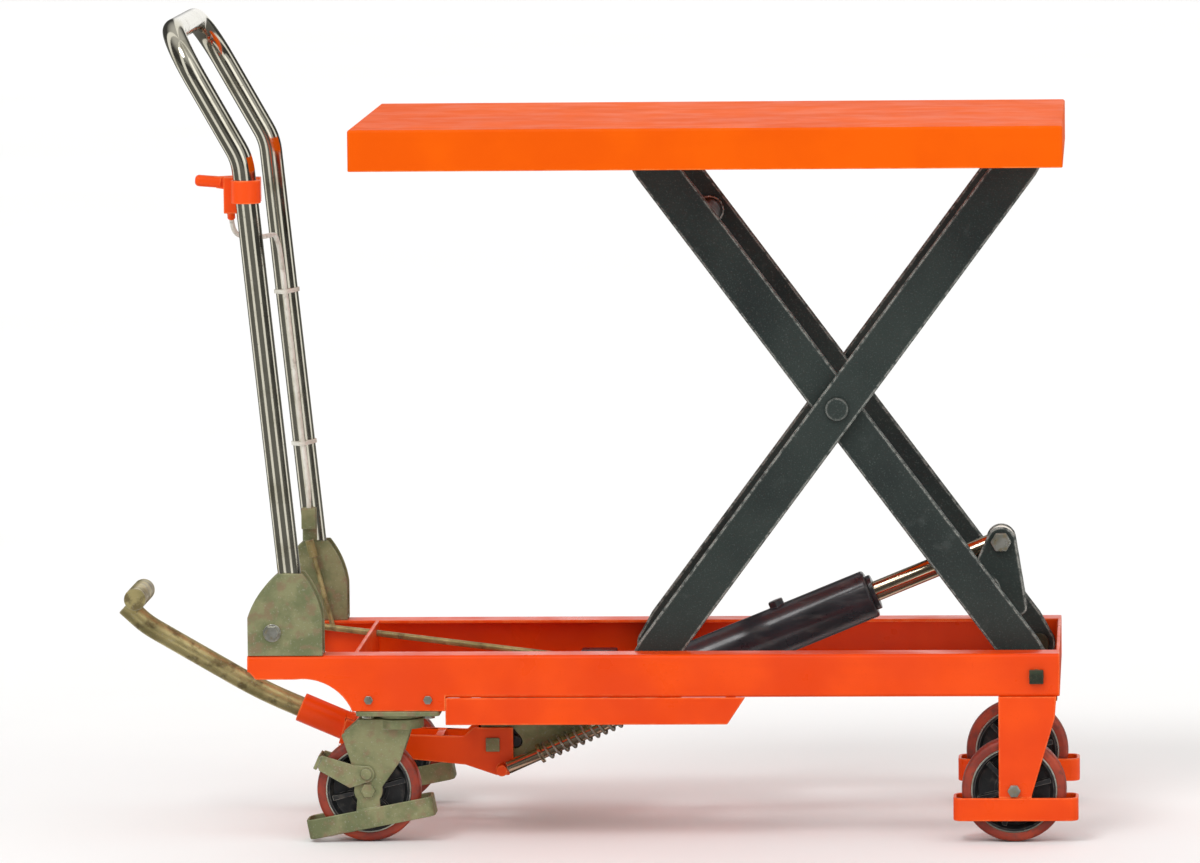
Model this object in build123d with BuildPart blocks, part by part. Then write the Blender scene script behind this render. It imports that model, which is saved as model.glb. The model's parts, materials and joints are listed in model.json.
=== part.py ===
from build123d import *
from math import asin, atan2, cos, degrees, hypot, pi, radians, sin
import os

# Manual hydraulic scissor lift table, shown fully raised, in millimetres.
# +X points from the handle to the scissor's fixed pivots, +Z points up, and the floor is Z = 0.
# The origin lies on the floor under the middle of the overall length and width.
# The right-hand side is -Y. Most side pieces are made there and mirrored to the left.

# ---- Overall layout ----
base_pivot_x = 539.9
base_pivot_z = 202.3
arm_length = 800.0
table_pivot_z = 843.5
lift_angle = degrees(asin((table_pivot_z - base_pivot_z) / arm_length))
lift_cos = cos(radians(lift_angle))
lift_sin = sin(radians(lift_angle))
lowered_angle = 8.0
running_gap = 0.05
side_gap = 0.5

# ---- Platform ----
platform_length = 855.0
platform_width = 500.0
platform_top_z = 870.0
platform_skirt = 50.0
platform_sheet = 3.0
platform_front_x = base_pivot_x - 820.0
platform_rear_x = platform_front_x + platform_length

# ---- Base frame ----
rail_outer_y = 196.0
rail_width = 40.0
rail_inner_y = rail_outer_y - rail_width
rail_wall = 4.0
rail_bottom_z = 178.0
rail_top_z = 230.0
rail_rear_x = base_pivot_x + 28.0
rail_track_x = base_pivot_x - 818.0
deep_front_x = base_pivot_x - 827.0
deep_rear_x = base_pivot_x - 714.0
deep_bottom_z = 162.0
handle_end_x = base_pivot_x - 954.0
handle_arm_bottom_z = 201.0
pad_thickness = 6.0
web_stud_x = (base_pivot_x - 807.0, base_pivot_x - 735.0)
web_stud_z = 176.0
web_stud_radius = 3.0
pad_inner_y = 118.0
front_plate_x = deep_front_x
front_plate_thickness = 5.0
rear_plate_x = rail_rear_x - 4.5
tray_rear_x = base_pivot_x - 351.0
tray_floor_rear_x = base_pivot_x - 373.0
tray_bottom_z = 145.0
tray_opening_front_x = base_pivot_x - 700.0
tray_opening_rear_x = base_pivot_x - 385.0
tray_opening_y = 75.0

# ---- Scissor arms, pins and rollers ----
arm_width = 50.0
arm_end_radius = 21.0
arm_taper = 30.0
arm_thickness = 12.0
inner_arm_y = 128.0
outer_arm_y = 142.0
pin_radius = 8.0
centre_pin_radius = 9.0
base_roller_radius = 20.0
table_roller_radius = 19.0
roller_inner_y = 160.0
roller_outer_y = 188.0
tie_tube_radius = 16.0
tie_tube_wall = 3.0
lift_tube_offset = 105.0
upper_tube_offset = 675.0
outer_tube_offset = 150.0
outer_tube_radius = 14.0

# ---- Lift cylinder ----
lift_pin_x = base_pivot_x - 44.0
lift_pin_z = 346.0
ram_angle = 22.2
ram_front = 172.0
ram_rear = 500.0
ram_radius = 30.0
ram_bore_radius = 20.0
rod_radius = 12.5
rod_end = 230.0
ram_foot_x = base_pivot_x - 640.0
ram_foot_z = lift_pin_z - (lift_pin_x - ram_foot_x) * sin(radians(ram_angle)) / cos(radians(ram_angle))
ram_length = hypot(lift_pin_x - ram_foot_x, lift_pin_z - ram_foot_z)
ram_neck_radius = 13.0
trunnion_radius = 7.0

# ---- Pump block and foot pedal ----
ear_inner_y = 24.0
ear_outer_y = 32.0
pedal_pivot_x = base_pivot_x - 668.0
pedal_pivot_z = 100.0
pedal_pin_radius = 6.0
lever_inner_y = 33.0
lever_outer_y = 38.0
plunger_y = -51.5
plunger_angle = 24.0
plunger_nose_x = base_pivot_x - 656.0
plunger_nose_z = 70.0
plunger_radius = 8.0
socket_radius = 18.0
bar_radius = 12.5
barrel_start = 171.0
barrel_radius = 14.0

# ---- Wheels and casters ----
wheel_radius = 63.5
wheel_width = 32.0
hub_radius = 52.0
fork_inner = 17.2
fork_plate = 4.8
axle_radius = 6.0
rear_wheel_x = base_pivot_x - 27.5
rear_wheel_y = rail_outer_y - fork_inner - fork_plate
caster_x = base_pivot_x - 772.0
caster_y = 160.0
caster_wheel_x = base_pivot_x - 810.0
caster_plate_top_z = deep_bottom_z
caster_plate_thickness = 6.0
caster_bolt_radius = 4.0
caster_bolt_x = (caster_x - 37, caster_x + 37)
caster_bolt_y = (caster_y - 28, caster_y + 23)

# ---- Handle ----
handle_y = 178.0
handle_radius = 14.0
handle_wall = 2.0
handle_foot = (base_pivot_x - 893.8, 240.0)
handle_bend = (base_pivot_x - 953.0, 831.0)
handle_top = (base_pivot_x - 1039.0, 984.0)
bracket_front_x = base_pivot_x - 953.0
bracket_rear_x = base_pivot_x - 862.0
bracket_base = 4.0
handle_bolt_x = base_pivot_x - 923.0
handle_bolt_z = 258.0

# ---- Release linkage ----
release_y = 152.0
valve_rod_y = 118.0
crank_pull = (base_pivot_x - 878.0, 217.0)
crank_pull_arm = 20.0
crank_valve_arm = 16.0
stop_x = base_pivot_x - 908.0
stop_top_z = 372.0
pull_top = (stop_x, stop_top_z - 40)
pull_length = hypot(pull_top[0] - crank_pull[0], pull_top[1] - crank_pull[1])
pull_cos = (pull_top[0] - crank_pull[0]) / pull_length
pull_sin = (pull_top[1] - crank_pull[1]) / pull_length
crank_pivot_x = crank_pull[0] - crank_pull_arm * pull_sin
crank_pivot_z = crank_pull[1] + crank_pull_arm * pull_cos
valve_slope = -0.125
crank_valve = (crank_pivot_x - crank_valve_arm * valve_slope, crank_pivot_z + crank_valve_arm)
valve_end_x = base_pivot_x - 545.0
cable_radius = 3.0
release_pivot = (base_pivot_x - 962.0, 800.0)

os.makedirs("parts", exist_ok=True)


def save(piece, name):
    """Label a finished piece and write it."""
    piece.label = name
    export_step(piece, f"parts/{name}.step")


def save_pair(right_piece, name):
    """Write a right-hand piece and its mirror image on the left."""
    save(right_piece, f"{name}_right")
    save(mirror(right_piece, about=Plane.XZ), f"{name}_left")


def side_plane(y):
    """The upright plane across Y; extrusions from it run towards -Y."""
    return Plane.XZ.offset(-y)


def arm_plane(x, y, z, direction):
    """A plane at a pivot, with its local x along an arm that leans to +X or -X."""
    return Plane(origin=(x, y, z), x_dir=(direction * lift_cos, 0, lift_sin), z_dir=(0, -1, 0))


def ram_plane(distance):
    """A plane square to the lift cylinder, this far from the lift pin, facing the foot."""
    along_x = -cos(radians(ram_angle))
    along_z = -sin(radians(ram_angle))
    origin = (lift_pin_x + distance * along_x, 0, lift_pin_z + distance * along_z)
    return Plane(origin=origin, x_dir=(0, 1, 0), z_dir=(along_x, 0, along_z))


def disc_y(x, z, radius, y_from, y_to, mode=Mode.ADD):
    """A round bar along Y, added to or cut from the part being built."""
    with BuildSketch(side_plane(max(y_from, y_to)), mode=Mode.PRIVATE) as face:
        with Locations((x, z)):
            Circle(radius)
    extrude(face.sketch, amount=abs(y_to - y_from), mode=mode)


def plate_y(points, y_from, y_to, mode=Mode.ADD):
    """A flat plate across Y from a straight-sided outline in X and Z."""
    with BuildSketch(side_plane(max(y_from, y_to)), mode=Mode.PRIVATE) as face:
        Polygon(*points, align=None)
    extrude(face.sketch, amount=abs(y_to - y_from), mode=mode)


def block(x_from, x_to, y_from, y_to, z_from, z_to, mode=Mode.ADD):
    """A rectangular block between two corners."""
    with BuildSketch(Plane.XY.offset(z_from), mode=Mode.PRIVATE) as face:
        with Locations(((x_from + x_to) / 2, (y_from + y_to) / 2)):
            Rectangle(x_to - x_from, y_to - y_from)
    extrude(face.sketch, amount=z_to - z_from, mode=mode)


def hex_y(x, z, across, y_from, y_to):
    """A hexagonal head or nut on an axis along Y."""
    with BuildSketch(side_plane(max(y_from, y_to)), mode=Mode.PRIVATE) as face:
        with Locations((x, z)):
            RegularPolygon(across / 2, 6, major_radius=False)
    extrude(face.sketch, amount=abs(y_to - y_from))


def square_y(x, z, across, y_from, y_to):
    """A square head about (x, z), running along Y."""
    block(x - across / 2, x + across / 2, min(y_from, y_to), max(y_from, y_to), z - across / 2, z + across / 2)


def channel(y_outer, z_bottom, z_top, x_from, x_to, corner=5.0):
    """A rolled C-channel along X on the right-hand side, open towards the centre line."""
    with BuildSketch(Plane.YZ.offset(x_from), mode=Mode.PRIVATE) as profile:
        with Locations((-y_outer + rail_width / 2, (z_bottom + z_top) / 2)):
            Rectangle(rail_width, z_top - z_bottom)
        outer_corners = profile.vertices().group_by(Axis.X)[0]
        fillet(outer_corners, corner)
        inside = (rail_width - rail_wall, z_top - z_bottom - 2 * rail_wall)
        with Locations((-y_outer + rail_wall + inside[0] / 2, (z_bottom + z_top) / 2)):
            Rectangle(*inside, mode=Mode.SUBTRACT)
    extrude(profile.sketch, amount=x_to - x_from)


# ---- Base rails: C-channels with a deep front web, a caster pad and a handle arm ----
with BuildPart() as base_rail_right:
    channel(rail_outer_y, rail_bottom_z, rail_top_z, rail_track_x, rail_rear_x)
    with BuildSketch(side_plane(-rail_outer_y + rail_wall)):
        with BuildLine():
            Polyline((rail_track_x + 1, rail_top_z - 5), (handle_end_x, rail_top_z - 5),
                     (handle_end_x, handle_arm_bottom_z + 12), (handle_end_x + 10, handle_arm_bottom_z))
            Line((handle_end_x + 10, handle_arm_bottom_z), (handle_end_x + 58, handle_arm_bottom_z))
            ThreePointArc((handle_end_x + 58, handle_arm_bottom_z), (deep_front_x - 20, deep_bottom_z + 26),
                          (deep_front_x, deep_bottom_z))
            Polyline((deep_front_x, deep_bottom_z), (deep_rear_x, deep_bottom_z),
                     (deep_rear_x, rail_bottom_z + 5), (rail_track_x + 1, rail_bottom_z + 5),
                     (rail_track_x + 1, rail_top_z - 5))
        make_face()
    extrude(amount=rail_wall)
    with BuildSketch(Plane.YZ.offset(handle_end_x)):
        with Locations((-rail_outer_y + rail_width / 2, rail_top_z - 10)):
            Rectangle(rail_width, 20)
        fillet(vertices().sort_by(Axis.X)[:2].sort_by(Axis.Y)[-1], 5)
        with Locations((-rail_outer_y + rail_wall + 20, rail_top_z - rail_wall - 10)):
            Rectangle(40, 20, mode=Mode.SUBTRACT)
    extrude(amount=rail_track_x - handle_end_x + 1)
    block(deep_front_x, deep_rear_x, -rail_outer_y, -pad_inner_y, deep_bottom_z, deep_bottom_z + pad_thickness)
    block(deep_rear_x - 4, deep_rear_x, -rail_outer_y, -rail_inner_y, deep_bottom_z, rail_bottom_z + 2)
    block(base_pivot_x - 16, rail_rear_x - 5, -rail_outer_y + 2, -rail_inner_y,
          rail_bottom_z + 2, rail_top_z - 2)
    disc_y(base_pivot_x, base_pivot_z, pin_radius, -rail_outer_y - 1, -rail_inner_y + 1, Mode.SUBTRACT)
    for x in web_stud_x:
        disc_y(x, web_stud_z, web_stud_radius, -rail_outer_y - 1, -rail_outer_y + rail_wall + 1, Mode.SUBTRACT)
    with BuildSketch(Plane.XY.offset(deep_bottom_z - 1)):
        with Locations([(x, -y) for x in caster_bolt_x for y in caster_bolt_y]):
            Circle(caster_bolt_radius)
    extrude(amount=pad_thickness + 2, mode=Mode.SUBTRACT)
save_pair(base_rail_right.part, "base_rail")

# ---- Cross plates that tie the two rails together ----
crank_bracket_x = crank_pivot_x - 14
with BuildPart() as crossmembers:
    block(front_plate_x, front_plate_x + front_plate_thickness, -rail_inner_y, rail_inner_y,
          deep_bottom_z + pad_thickness, rail_top_z)
    valve_hole_z = crank_valve[1] + valve_slope * (front_plate_x - crank_valve[0])
    with BuildSketch(Plane.YZ.offset(front_plate_x - 1)):
        with Locations((valve_rod_y, valve_hole_z)):
            Circle(7)
    extrude(amount=front_plate_thickness + 2, mode=Mode.SUBTRACT)
    for bracket_y in (126.0, 138.0):
        plate_y([(front_plate_x, 176), (front_plate_x, 222), (crank_bracket_x, 222), (crank_bracket_x, 202)],
                bracket_y, bracket_y + 4)
        disc_y(crank_pivot_x, crank_pivot_z, 5 + running_gap, bracket_y - 1, bracket_y + 5, Mode.SUBTRACT)
    block(rear_plate_x, rail_rear_x, -rail_inner_y, rail_inner_y, rail_bottom_z, rail_top_z)
save(crossmembers.part, "crossmembers")

# ---- Pump tray: a folded pan under the rails, cut out for the cylinder ----
with BuildPart() as pump_tray:
    for side in (-1, 1):
        plate_y([(deep_rear_x, rail_bottom_z), (deep_rear_x, tray_bottom_z), (tray_floor_rear_x, tray_bottom_z),
                 (tray_rear_x, rail_bottom_z)], side * (rail_outer_y - rail_wall), side * rail_outer_y)
    block(deep_rear_x, tray_floor_rear_x, -rail_outer_y, rail_outer_y, tray_bottom_z, tray_bottom_z + rail_wall)
    block(tray_opening_front_x, tray_opening_rear_x, -tray_opening_y, tray_opening_y,
          tray_bottom_z - 1, tray_bottom_z + rail_wall + 1, Mode.SUBTRACT)
    for x in (base_pivot_x - 675, base_pivot_x - 545):
        for side in (-1, 1):
            block(x - 5, x + 5, side * 88 - 5, side * 88 + 5, tray_bottom_z - 1, tray_bottom_z + rail_wall + 1,
                  Mode.SUBTRACT)
save(pump_tray.part, "pump_tray")

# ---- Rear forks with their wheel guards ----
fork_y = [rear_wheel_y - fork_inner - fork_plate, rear_wheel_y - fork_inner,
          rear_wheel_y + fork_inner, rear_wheel_y + fork_inner + fork_plate]
fork_front_x = base_pivot_x - 46
guard_front_x = base_pivot_x - 101
guard_rear_x = base_pivot_x + 50
guard_bottom_z = 27.0
guard_top_z = 55.0
guard_wall = 4.0
with BuildPart() as rear_fork_right:
    fork_outline = [(fork_front_x, rail_bottom_z), (base_pivot_x + 24, rail_bottom_z), (base_pivot_x + 22, 152),
                    (base_pivot_x - 6, 58), (base_pivot_x - 8, 40), (fork_front_x, 40)]
    plate_y(fork_outline, -fork_y[3], -fork_y[2])
    plate_y(fork_outline, -fork_y[1], -fork_y[0])
    block(fork_front_x, base_pivot_x + 24, -fork_y[3], -fork_y[0], rail_bottom_z - 5, rail_bottom_z)
    with BuildSketch(Plane.XY.offset(guard_bottom_z)):
        with Locations(((guard_front_x + guard_rear_x) / 2, -rear_wheel_y)):
            RectangleRounded(guard_rear_x - guard_front_x, 2 * (fork_y[3] - rear_wheel_y + guard_wall), 12)
            RectangleRounded(guard_rear_x - guard_front_x - 2 * guard_wall, 2 * (fork_y[3] - rear_wheel_y), 8,
                             mode=Mode.SUBTRACT)
    extrude(amount=guard_top_z - guard_bottom_z)
    disc_y(rear_wheel_x, wheel_radius, axle_radius, -rail_outer_y - 10, -rail_inner_y + 20, Mode.SUBTRACT)
save_pair(rear_fork_right.part, "rear_fork")

with BuildPart() as rear_axle_bolts:
    for side in (-1, 1):
        disc_y(rear_wheel_x, wheel_radius, axle_radius, side * (fork_y[3] + 1), side * (fork_y[0] - 12))
        hex_y(rear_wheel_x, wheel_radius, 14, side * fork_y[3], side * (fork_y[3] + 5))
        hex_y(rear_wheel_x, wheel_radius, 14, side * (fork_y[0] - 10), side * fork_y[0])
save(rear_axle_bolts.part, "rear_axle_bolts")


# ---- Wheels: a polyurethane tread on a webbed hub ----
def wheel(x, y, name):
    """The tread and hub of one wheel whose axle is along Y."""
    with BuildPart() as tread:
        with BuildSketch(side_plane(y + wheel_width / 2)):
            with Locations((x, wheel_radius)):
                Circle(wheel_radius)
                Circle(hub_radius, mode=Mode.SUBTRACT)
        extrude(amount=wheel_width)
        fillet(tread.edges().filter_by(GeomType.CIRCLE).sort_by(lambda edge: edge.radius)[-2:], 6)
    save(tread.part, f"{name}_tread")
    with BuildPart() as hub:
        disc_y(x, wheel_radius, hub_radius, y - wheel_width / 2 + 1, y + wheel_width / 2 - 1)
        for face_y in (y - wheel_width / 2, y + wheel_width / 2 - 9):
            disc_y(x, wheel_radius, hub_radius - 7, face_y, face_y + 9, Mode.SUBTRACT)
        disc_y(x, wheel_radius, 17, y - fork_inner + side_gap, y + fork_inner - side_gap)
        disc_y(x, wheel_radius, axle_radius + running_gap, y - 20, y + 20, Mode.SUBTRACT)
    save(hub.part, f"{name}_hub")


for side, side_name in ((-1, "right"), (1, "left")):
    wheel(rear_wheel_x, side * rear_wheel_y, f"rear_wheel_{side_name}")
    wheel(caster_wheel_x, side * caster_y, f"caster_wheel_{side_name}")

# ---- Casters: fixed top plate with king pin, and the swivelling fork with its toe guard ----
plate_bottom_z = caster_plate_top_z - caster_plate_thickness
race_bottom_z = plate_bottom_z - 5
crown_top_z = race_bottom_z - 0.4
crown_bottom_z = crown_top_z - 12
king_pin_radius = 8.0
with BuildPart() as caster_plate_right:
    with BuildSketch(Plane.XY.offset(plate_bottom_z)):
        with Locations((caster_x, -caster_y)):
            RectangleRounded(102, 76, 8)
        with Locations([(x, -y) for x in caster_bolt_x for y in caster_bolt_y]):
            Circle(caster_bolt_radius, mode=Mode.SUBTRACT)
    extrude(amount=caster_plate_thickness)
    with BuildSketch(Plane.XY.offset(race_bottom_z)):
        with Locations((caster_x, -caster_y)):
            Circle(27)
    extrude(amount=plate_bottom_z - race_bottom_z)
    with BuildSketch(Plane.XY.offset(crown_bottom_z - 1)):
        with Locations((caster_x, -caster_y)):
            Circle(king_pin_radius)
    extrude(amount=race_bottom_z - crown_bottom_z + 1)
    with BuildSketch(Plane.XY.offset(crown_bottom_z - 7)):
        with Locations((caster_x, -caster_y)):
            RegularPolygon(12, 6, major_radius=False)
    extrude(amount=6.6)
save_pair(caster_plate_right.part, "caster_plate")

with BuildPart() as caster_bolts:
    for side in (-1, 1):
        spots = [(x, side * y) for x in caster_bolt_x for y in caster_bolt_y]
        with BuildSketch(Plane.XY.offset(plate_bottom_z - 4)):
            with Locations(spots):
                RegularPolygon(6.5, 6, major_radius=False)
        extrude(amount=4)
        with BuildSketch(Plane.XY.offset(plate_bottom_z - 1)):
            with Locations(spots):
                Circle(caster_bolt_radius)
        extrude(amount=18)
        with BuildSketch(Plane.XY.offset(deep_bottom_z + pad_thickness)):
            with Locations(spots):
                RegularPolygon(6.5, 6, major_radius=False)
        extrude(amount=6)
save(caster_bolts.part, "caster_bolts")

# The crown is short enough to pass the tray's front edge as the fork swivels.
leg_inner = fork_inner
leg_outer = fork_inner + 4
crown_front = 50.0
crown_rear = 18.0
brake_pivot_x = base_pivot_x - 812.0
brake_pivot_z = 84.0
brake_inner = leg_outer + side_gap
brake_outer = brake_inner + 3
brake_pin_radius = 4.0
brake_eye_radius = 10.0
toe_tilt = 11.0
toe_centre = (base_pivot_x - 805.0, 30.0)
with BuildPart() as caster_fork_right:
    with BuildSketch(Plane.XY.offset(crown_bottom_z)):
        with Locations((caster_x, -caster_y)):
            Circle(29)
        with Locations((caster_x + (crown_rear - crown_front) / 2, -caster_y)):
            Rectangle(crown_front + crown_rear, 2 * leg_outer)
        with Locations((caster_x, -caster_y)):
            Circle(king_pin_radius + running_gap, mode=Mode.SUBTRACT)
    extrude(amount=crown_top_z - crown_bottom_z)
    for leg_y in (-caster_y - leg_outer, -caster_y + leg_inner):
        with BuildSketch(side_plane(leg_y + 4)):
            with BuildLine():
                Polyline((caster_x - crown_front, crown_top_z - 2), (caster_x - 70, 131),
                         (caster_wheel_x - 21, 98), (caster_wheel_x - 17, wheel_radius + 4))
                ThreePointArc((caster_wheel_x - 17, wheel_radius + 4), (caster_wheel_x, wheel_radius - 17.5),
                              (caster_wheel_x + 17, wheel_radius + 4))
                Polyline((caster_wheel_x + 17, wheel_radius + 4), (caster_x + 2, 100),
                         (caster_x + crown_rear, crown_top_z - 2),
                         (caster_x - crown_front, crown_top_z - 2))
            make_face()
        extrude(amount=4)
    tilt_x = (cos(radians(toe_tilt)), 0, sin(radians(toe_tilt)))
    toe_plane = Plane(origin=(toe_centre[0], -caster_y, toe_centre[1] - 12), x_dir=tilt_x,
                      z_dir=(-tilt_x[2], 0, tilt_x[0]))
    with BuildSketch(toe_plane):
        RectangleRounded(156, 2 * leg_outer + 6, 10)
        RectangleRounded(150, 2 * leg_outer, 7, mode=Mode.SUBTRACT)
    extrude(amount=24)
    for leg_y in (-caster_y - leg_outer, -caster_y + leg_inner):
        plate_y([(caster_wheel_x - 13, wheel_radius), (caster_wheel_x + 13, wheel_radius),
                 (caster_wheel_x + 16, 30), (caster_wheel_x - 16, 24)], leg_y, leg_y + 4)
    disc_y(caster_wheel_x, wheel_radius, axle_radius, -caster_y - leg_outer - 3, -caster_y + leg_outer + 8)
    hex_y(caster_wheel_x, wheel_radius, 16, -caster_y - leg_outer - 5, -caster_y - leg_outer)
    hex_y(caster_wheel_x, wheel_radius, 16, -caster_y + leg_outer, -caster_y + leg_outer + 6)
    for side in (-1, 1):
        disc_y(brake_pivot_x, brake_pivot_z, brake_pin_radius, -caster_y + side * (leg_outer - 3),
               -caster_y + side * (brake_outer + side_gap))
        disc_y(brake_pivot_x, brake_pivot_z, 7, -caster_y + side * (brake_outer + side_gap),
               -caster_y + side * (brake_outer + side_gap + 2))
save_pair(caster_fork_right.part, "caster_fork")

# ---- Brake pedals on the casters: a tread plate above the wheel on two side links ----
with BuildPart() as brake_pedal_right:
    for link_y in (-caster_y - brake_outer, -caster_y + brake_inner):
        plate_y([(brake_pivot_x + 3, brake_pivot_z + 9.5), (brake_pivot_x + 3, brake_pivot_z - 9.5),
                 (brake_pivot_x - 20, brake_pivot_z - 17), (brake_pivot_x - 57, brake_pivot_z + 4),
                 (brake_pivot_x - 60, brake_pivot_z + 12), (brake_pivot_x - 54, brake_pivot_z + 23),
                 (brake_pivot_x - 15, brake_pivot_z + 11)], link_y, link_y + 3)
        disc_y(brake_pivot_x, brake_pivot_z, brake_eye_radius, link_y, link_y + 3)
        disc_y(brake_pivot_x, brake_pivot_z, brake_pin_radius + running_gap, link_y - 1, link_y + 4, Mode.SUBTRACT)
    plate_y([(brake_pivot_x - 60.5, brake_pivot_z + 5), (brake_pivot_x - 53.5, brake_pivot_z + 20),
             (brake_pivot_x - 57.5, brake_pivot_z + 23), (brake_pivot_x - 64.5, brake_pivot_z + 7)],
            -caster_y - brake_outer - 1, -caster_y + brake_outer + 1)
save_pair(brake_pedal_right.part, "brake_pedal")


# ---- Scissor arms ----
def scissor_arm(y, direction, start_hole, centre_hole, end_hole):
    """One flat-bar arm on the right-hand side, from its lower pivot upwards."""
    start_x = base_pivot_x if direction < 0 else base_pivot_x - arm_length * lift_cos
    half = arm_width / 2
    with BuildPart() as arm:
        with BuildSketch(arm_plane(start_x, -y, base_pivot_z, direction)):
            with BuildLine():
                Polyline((0, arm_end_radius), (arm_taper, half), (arm_length - arm_taper, half),
                         (arm_length, arm_end_radius))
                ThreePointArc((arm_length, arm_end_radius), (arm_length + arm_end_radius, 0),
                              (arm_length, -arm_end_radius))
                Polyline((arm_length, -arm_end_radius), (arm_length - arm_taper, -half), (arm_taper, -half),
                         (0, -arm_end_radius))
                ThreePointArc((0, -arm_end_radius), (-arm_end_radius, 0), (0, arm_end_radius))
            make_face()
            for distance, radius in ((0, start_hole), (arm_length / 2, centre_hole), (arm_length, end_hole)):
                with Locations((distance, 0)):
                    Circle(radius, mode=Mode.SUBTRACT)
        extrude(amount=arm_thickness)
    return arm.part


save_pair(scissor_arm(inner_arm_y, -1, pin_radius + running_gap, centre_pin_radius, pin_radius), "inner_arm")
save_pair(scissor_arm(outer_arm_y, 1, pin_radius, centre_pin_radius + running_gap, pin_radius + running_gap),
          "outer_arm")


def inner_point(distance, rise=0.0):
    """X and Z of a point along an inner arm, with a rise square to it on its upper side."""
    return (base_pivot_x - distance * lift_cos + rise * lift_sin,
            base_pivot_z + distance * lift_sin + rise * lift_cos)


centre_x, centre_z = inner_point(arm_length / 2)
table_roller_x, table_roller_z = inner_point(arm_length)
base_roller_x = base_pivot_x - arm_length * lift_cos
base_roller_z = base_pivot_z

with BuildPart() as inner_tie_tubes:
    for distance in (lift_tube_offset, upper_tube_offset):
        tube_x, tube_z = inner_point(distance)
        disc_y(tube_x, tube_z, tie_tube_radius, -inner_arm_y, inner_arm_y)
        disc_y(tube_x, tube_z, tie_tube_radius - tie_tube_wall, -inner_arm_y, inner_arm_y, Mode.SUBTRACT)
save(inner_tie_tubes.part, "inner_tie_tubes")

with BuildPart() as outer_tie_tube:
    tube_x = base_roller_x + outer_tube_offset * lift_cos
    tube_z = base_roller_z + outer_tube_offset * lift_sin
    disc_y(tube_x, tube_z, outer_tube_radius, -outer_arm_y, outer_arm_y)
    disc_y(tube_x, tube_z, outer_tube_radius - tie_tube_wall, -outer_arm_y, outer_arm_y, Mode.SUBTRACT)
save(outer_tie_tube.part, "outer_tie_tube")

# ---- Lift bracket: two cheeks on the lower tie tube that carry the lift pin ----
cheek_inner = 16.0
cheek_outer = 22.0
with BuildPart() as lift_bracket:
    tube_x, tube_z = inner_point(lift_tube_offset)
    foot_x, foot_z = inner_point(lift_tube_offset - 42, 20)
    for side in (-1, 1):
        with BuildSketch(side_plane(max(side * cheek_inner, side * cheek_outer))):
            with BuildLine() as rim:
                CenterArc((tube_x, tube_z), tie_tube_radius + 9, 0, 360)
                CenterArc((lift_pin_x, lift_pin_z), 18, 0, 360)
                CenterArc((foot_x, foot_z), 9, 0, 360)
            make_hull(rim.edges())
            with Locations((tube_x, tube_z)):
                Circle(tie_tube_radius, mode=Mode.SUBTRACT)
            with Locations((lift_pin_x, lift_pin_z)):
                Circle(pin_radius, mode=Mode.SUBTRACT)
        extrude(amount=cheek_outer - cheek_inner)
save(lift_bracket.part, "lift_bracket")

with BuildPart() as lift_pin:
    disc_y(lift_pin_x, lift_pin_z, pin_radius, -cheek_outer - 4, cheek_outer + 4)
    hex_y(lift_pin_x, lift_pin_z, 22, -cheek_outer - 8, -cheek_outer)
    hex_y(lift_pin_x, lift_pin_z, 22, cheek_outer, cheek_outer + 8)
save(lift_pin.part, "lift_pin")

# ---- Pins of the scissor ----
with BuildPart() as centre_pins:
    for side in (-1, 1):
        disc_y(centre_x, centre_z, centre_pin_radius, side * (inner_arm_y - 4),
               side * (outer_arm_y + arm_thickness + 3))
        disc_y(centre_x, centre_z, 14, side * (outer_arm_y + arm_thickness + side_gap),
               side * (outer_arm_y + arm_thickness + 5))
        disc_y(centre_x, centre_z, 14, side * (inner_arm_y - 4), side * inner_arm_y)
save(centre_pins.part, "centre_pins")

with BuildPart() as table_roller_pins:
    for side in (-1, 1):
        disc_y(table_roller_x, table_roller_z, pin_radius, side * (inner_arm_y - 3), side * (roller_outer_y + 2))
        disc_y(table_roller_x, table_roller_z, 12, side * (inner_arm_y - 3), side * inner_arm_y)
        disc_y(table_roller_x, table_roller_z, 12, side * (inner_arm_y + arm_thickness),
               side * (roller_inner_y - side_gap))
save(table_roller_pins.part, "table_roller_pins")

with BuildPart() as base_roller_pins:
    for side in (-1, 1):
        disc_y(base_roller_x, base_roller_z, pin_radius, side * outer_arm_y, side * (roller_outer_y + 2))
        disc_y(base_roller_x, base_roller_z, 12, side * (outer_arm_y + arm_thickness),
               side * (roller_inner_y - side_gap))
save(base_roller_pins.part, "base_roller_pins")


def roller(x, z, radius):
    """One flanged-edge steel roller on the right-hand side."""
    with BuildPart() as wheel_part:
        disc_y(x, z, radius, -roller_outer_y, -roller_inner_y)
        chamfer(wheel_part.edges().filter_by(GeomType.CIRCLE), 1.5)
        disc_y(x, z, pin_radius + running_gap, -roller_outer_y - 1, -roller_inner_y + 1, Mode.SUBTRACT)
    return wheel_part.part


save_pair(roller(base_roller_x, base_roller_z, base_roller_radius), "base_roller")
save_pair(roller(table_roller_x, table_roller_z, table_roller_radius), "table_roller")

# ---- Platform: folded pan, side channels, stiffening ribs and fixed pivots ----
channel_top_z = platform_top_z - platform_sheet
channel_bottom_z = platform_top_z - platform_skirt
with BuildPart() as platform_pan:
    block(platform_front_x, platform_rear_x, -platform_width / 2, platform_width / 2,
          platform_top_z - platform_skirt, platform_top_z)
    fillet(platform_pan.edges().filter_by(Axis.Z), 4)
    fillet(platform_pan.faces().sort_by(Axis.Z)[-1].edges(), 3)
    block(platform_front_x + platform_sheet, platform_rear_x - platform_sheet,
          -platform_width / 2 + platform_sheet, platform_width / 2 - platform_sheet,
          platform_top_z - platform_skirt - 1, channel_top_z, Mode.SUBTRACT)
save(platform_pan.part, "platform_pan")

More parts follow.
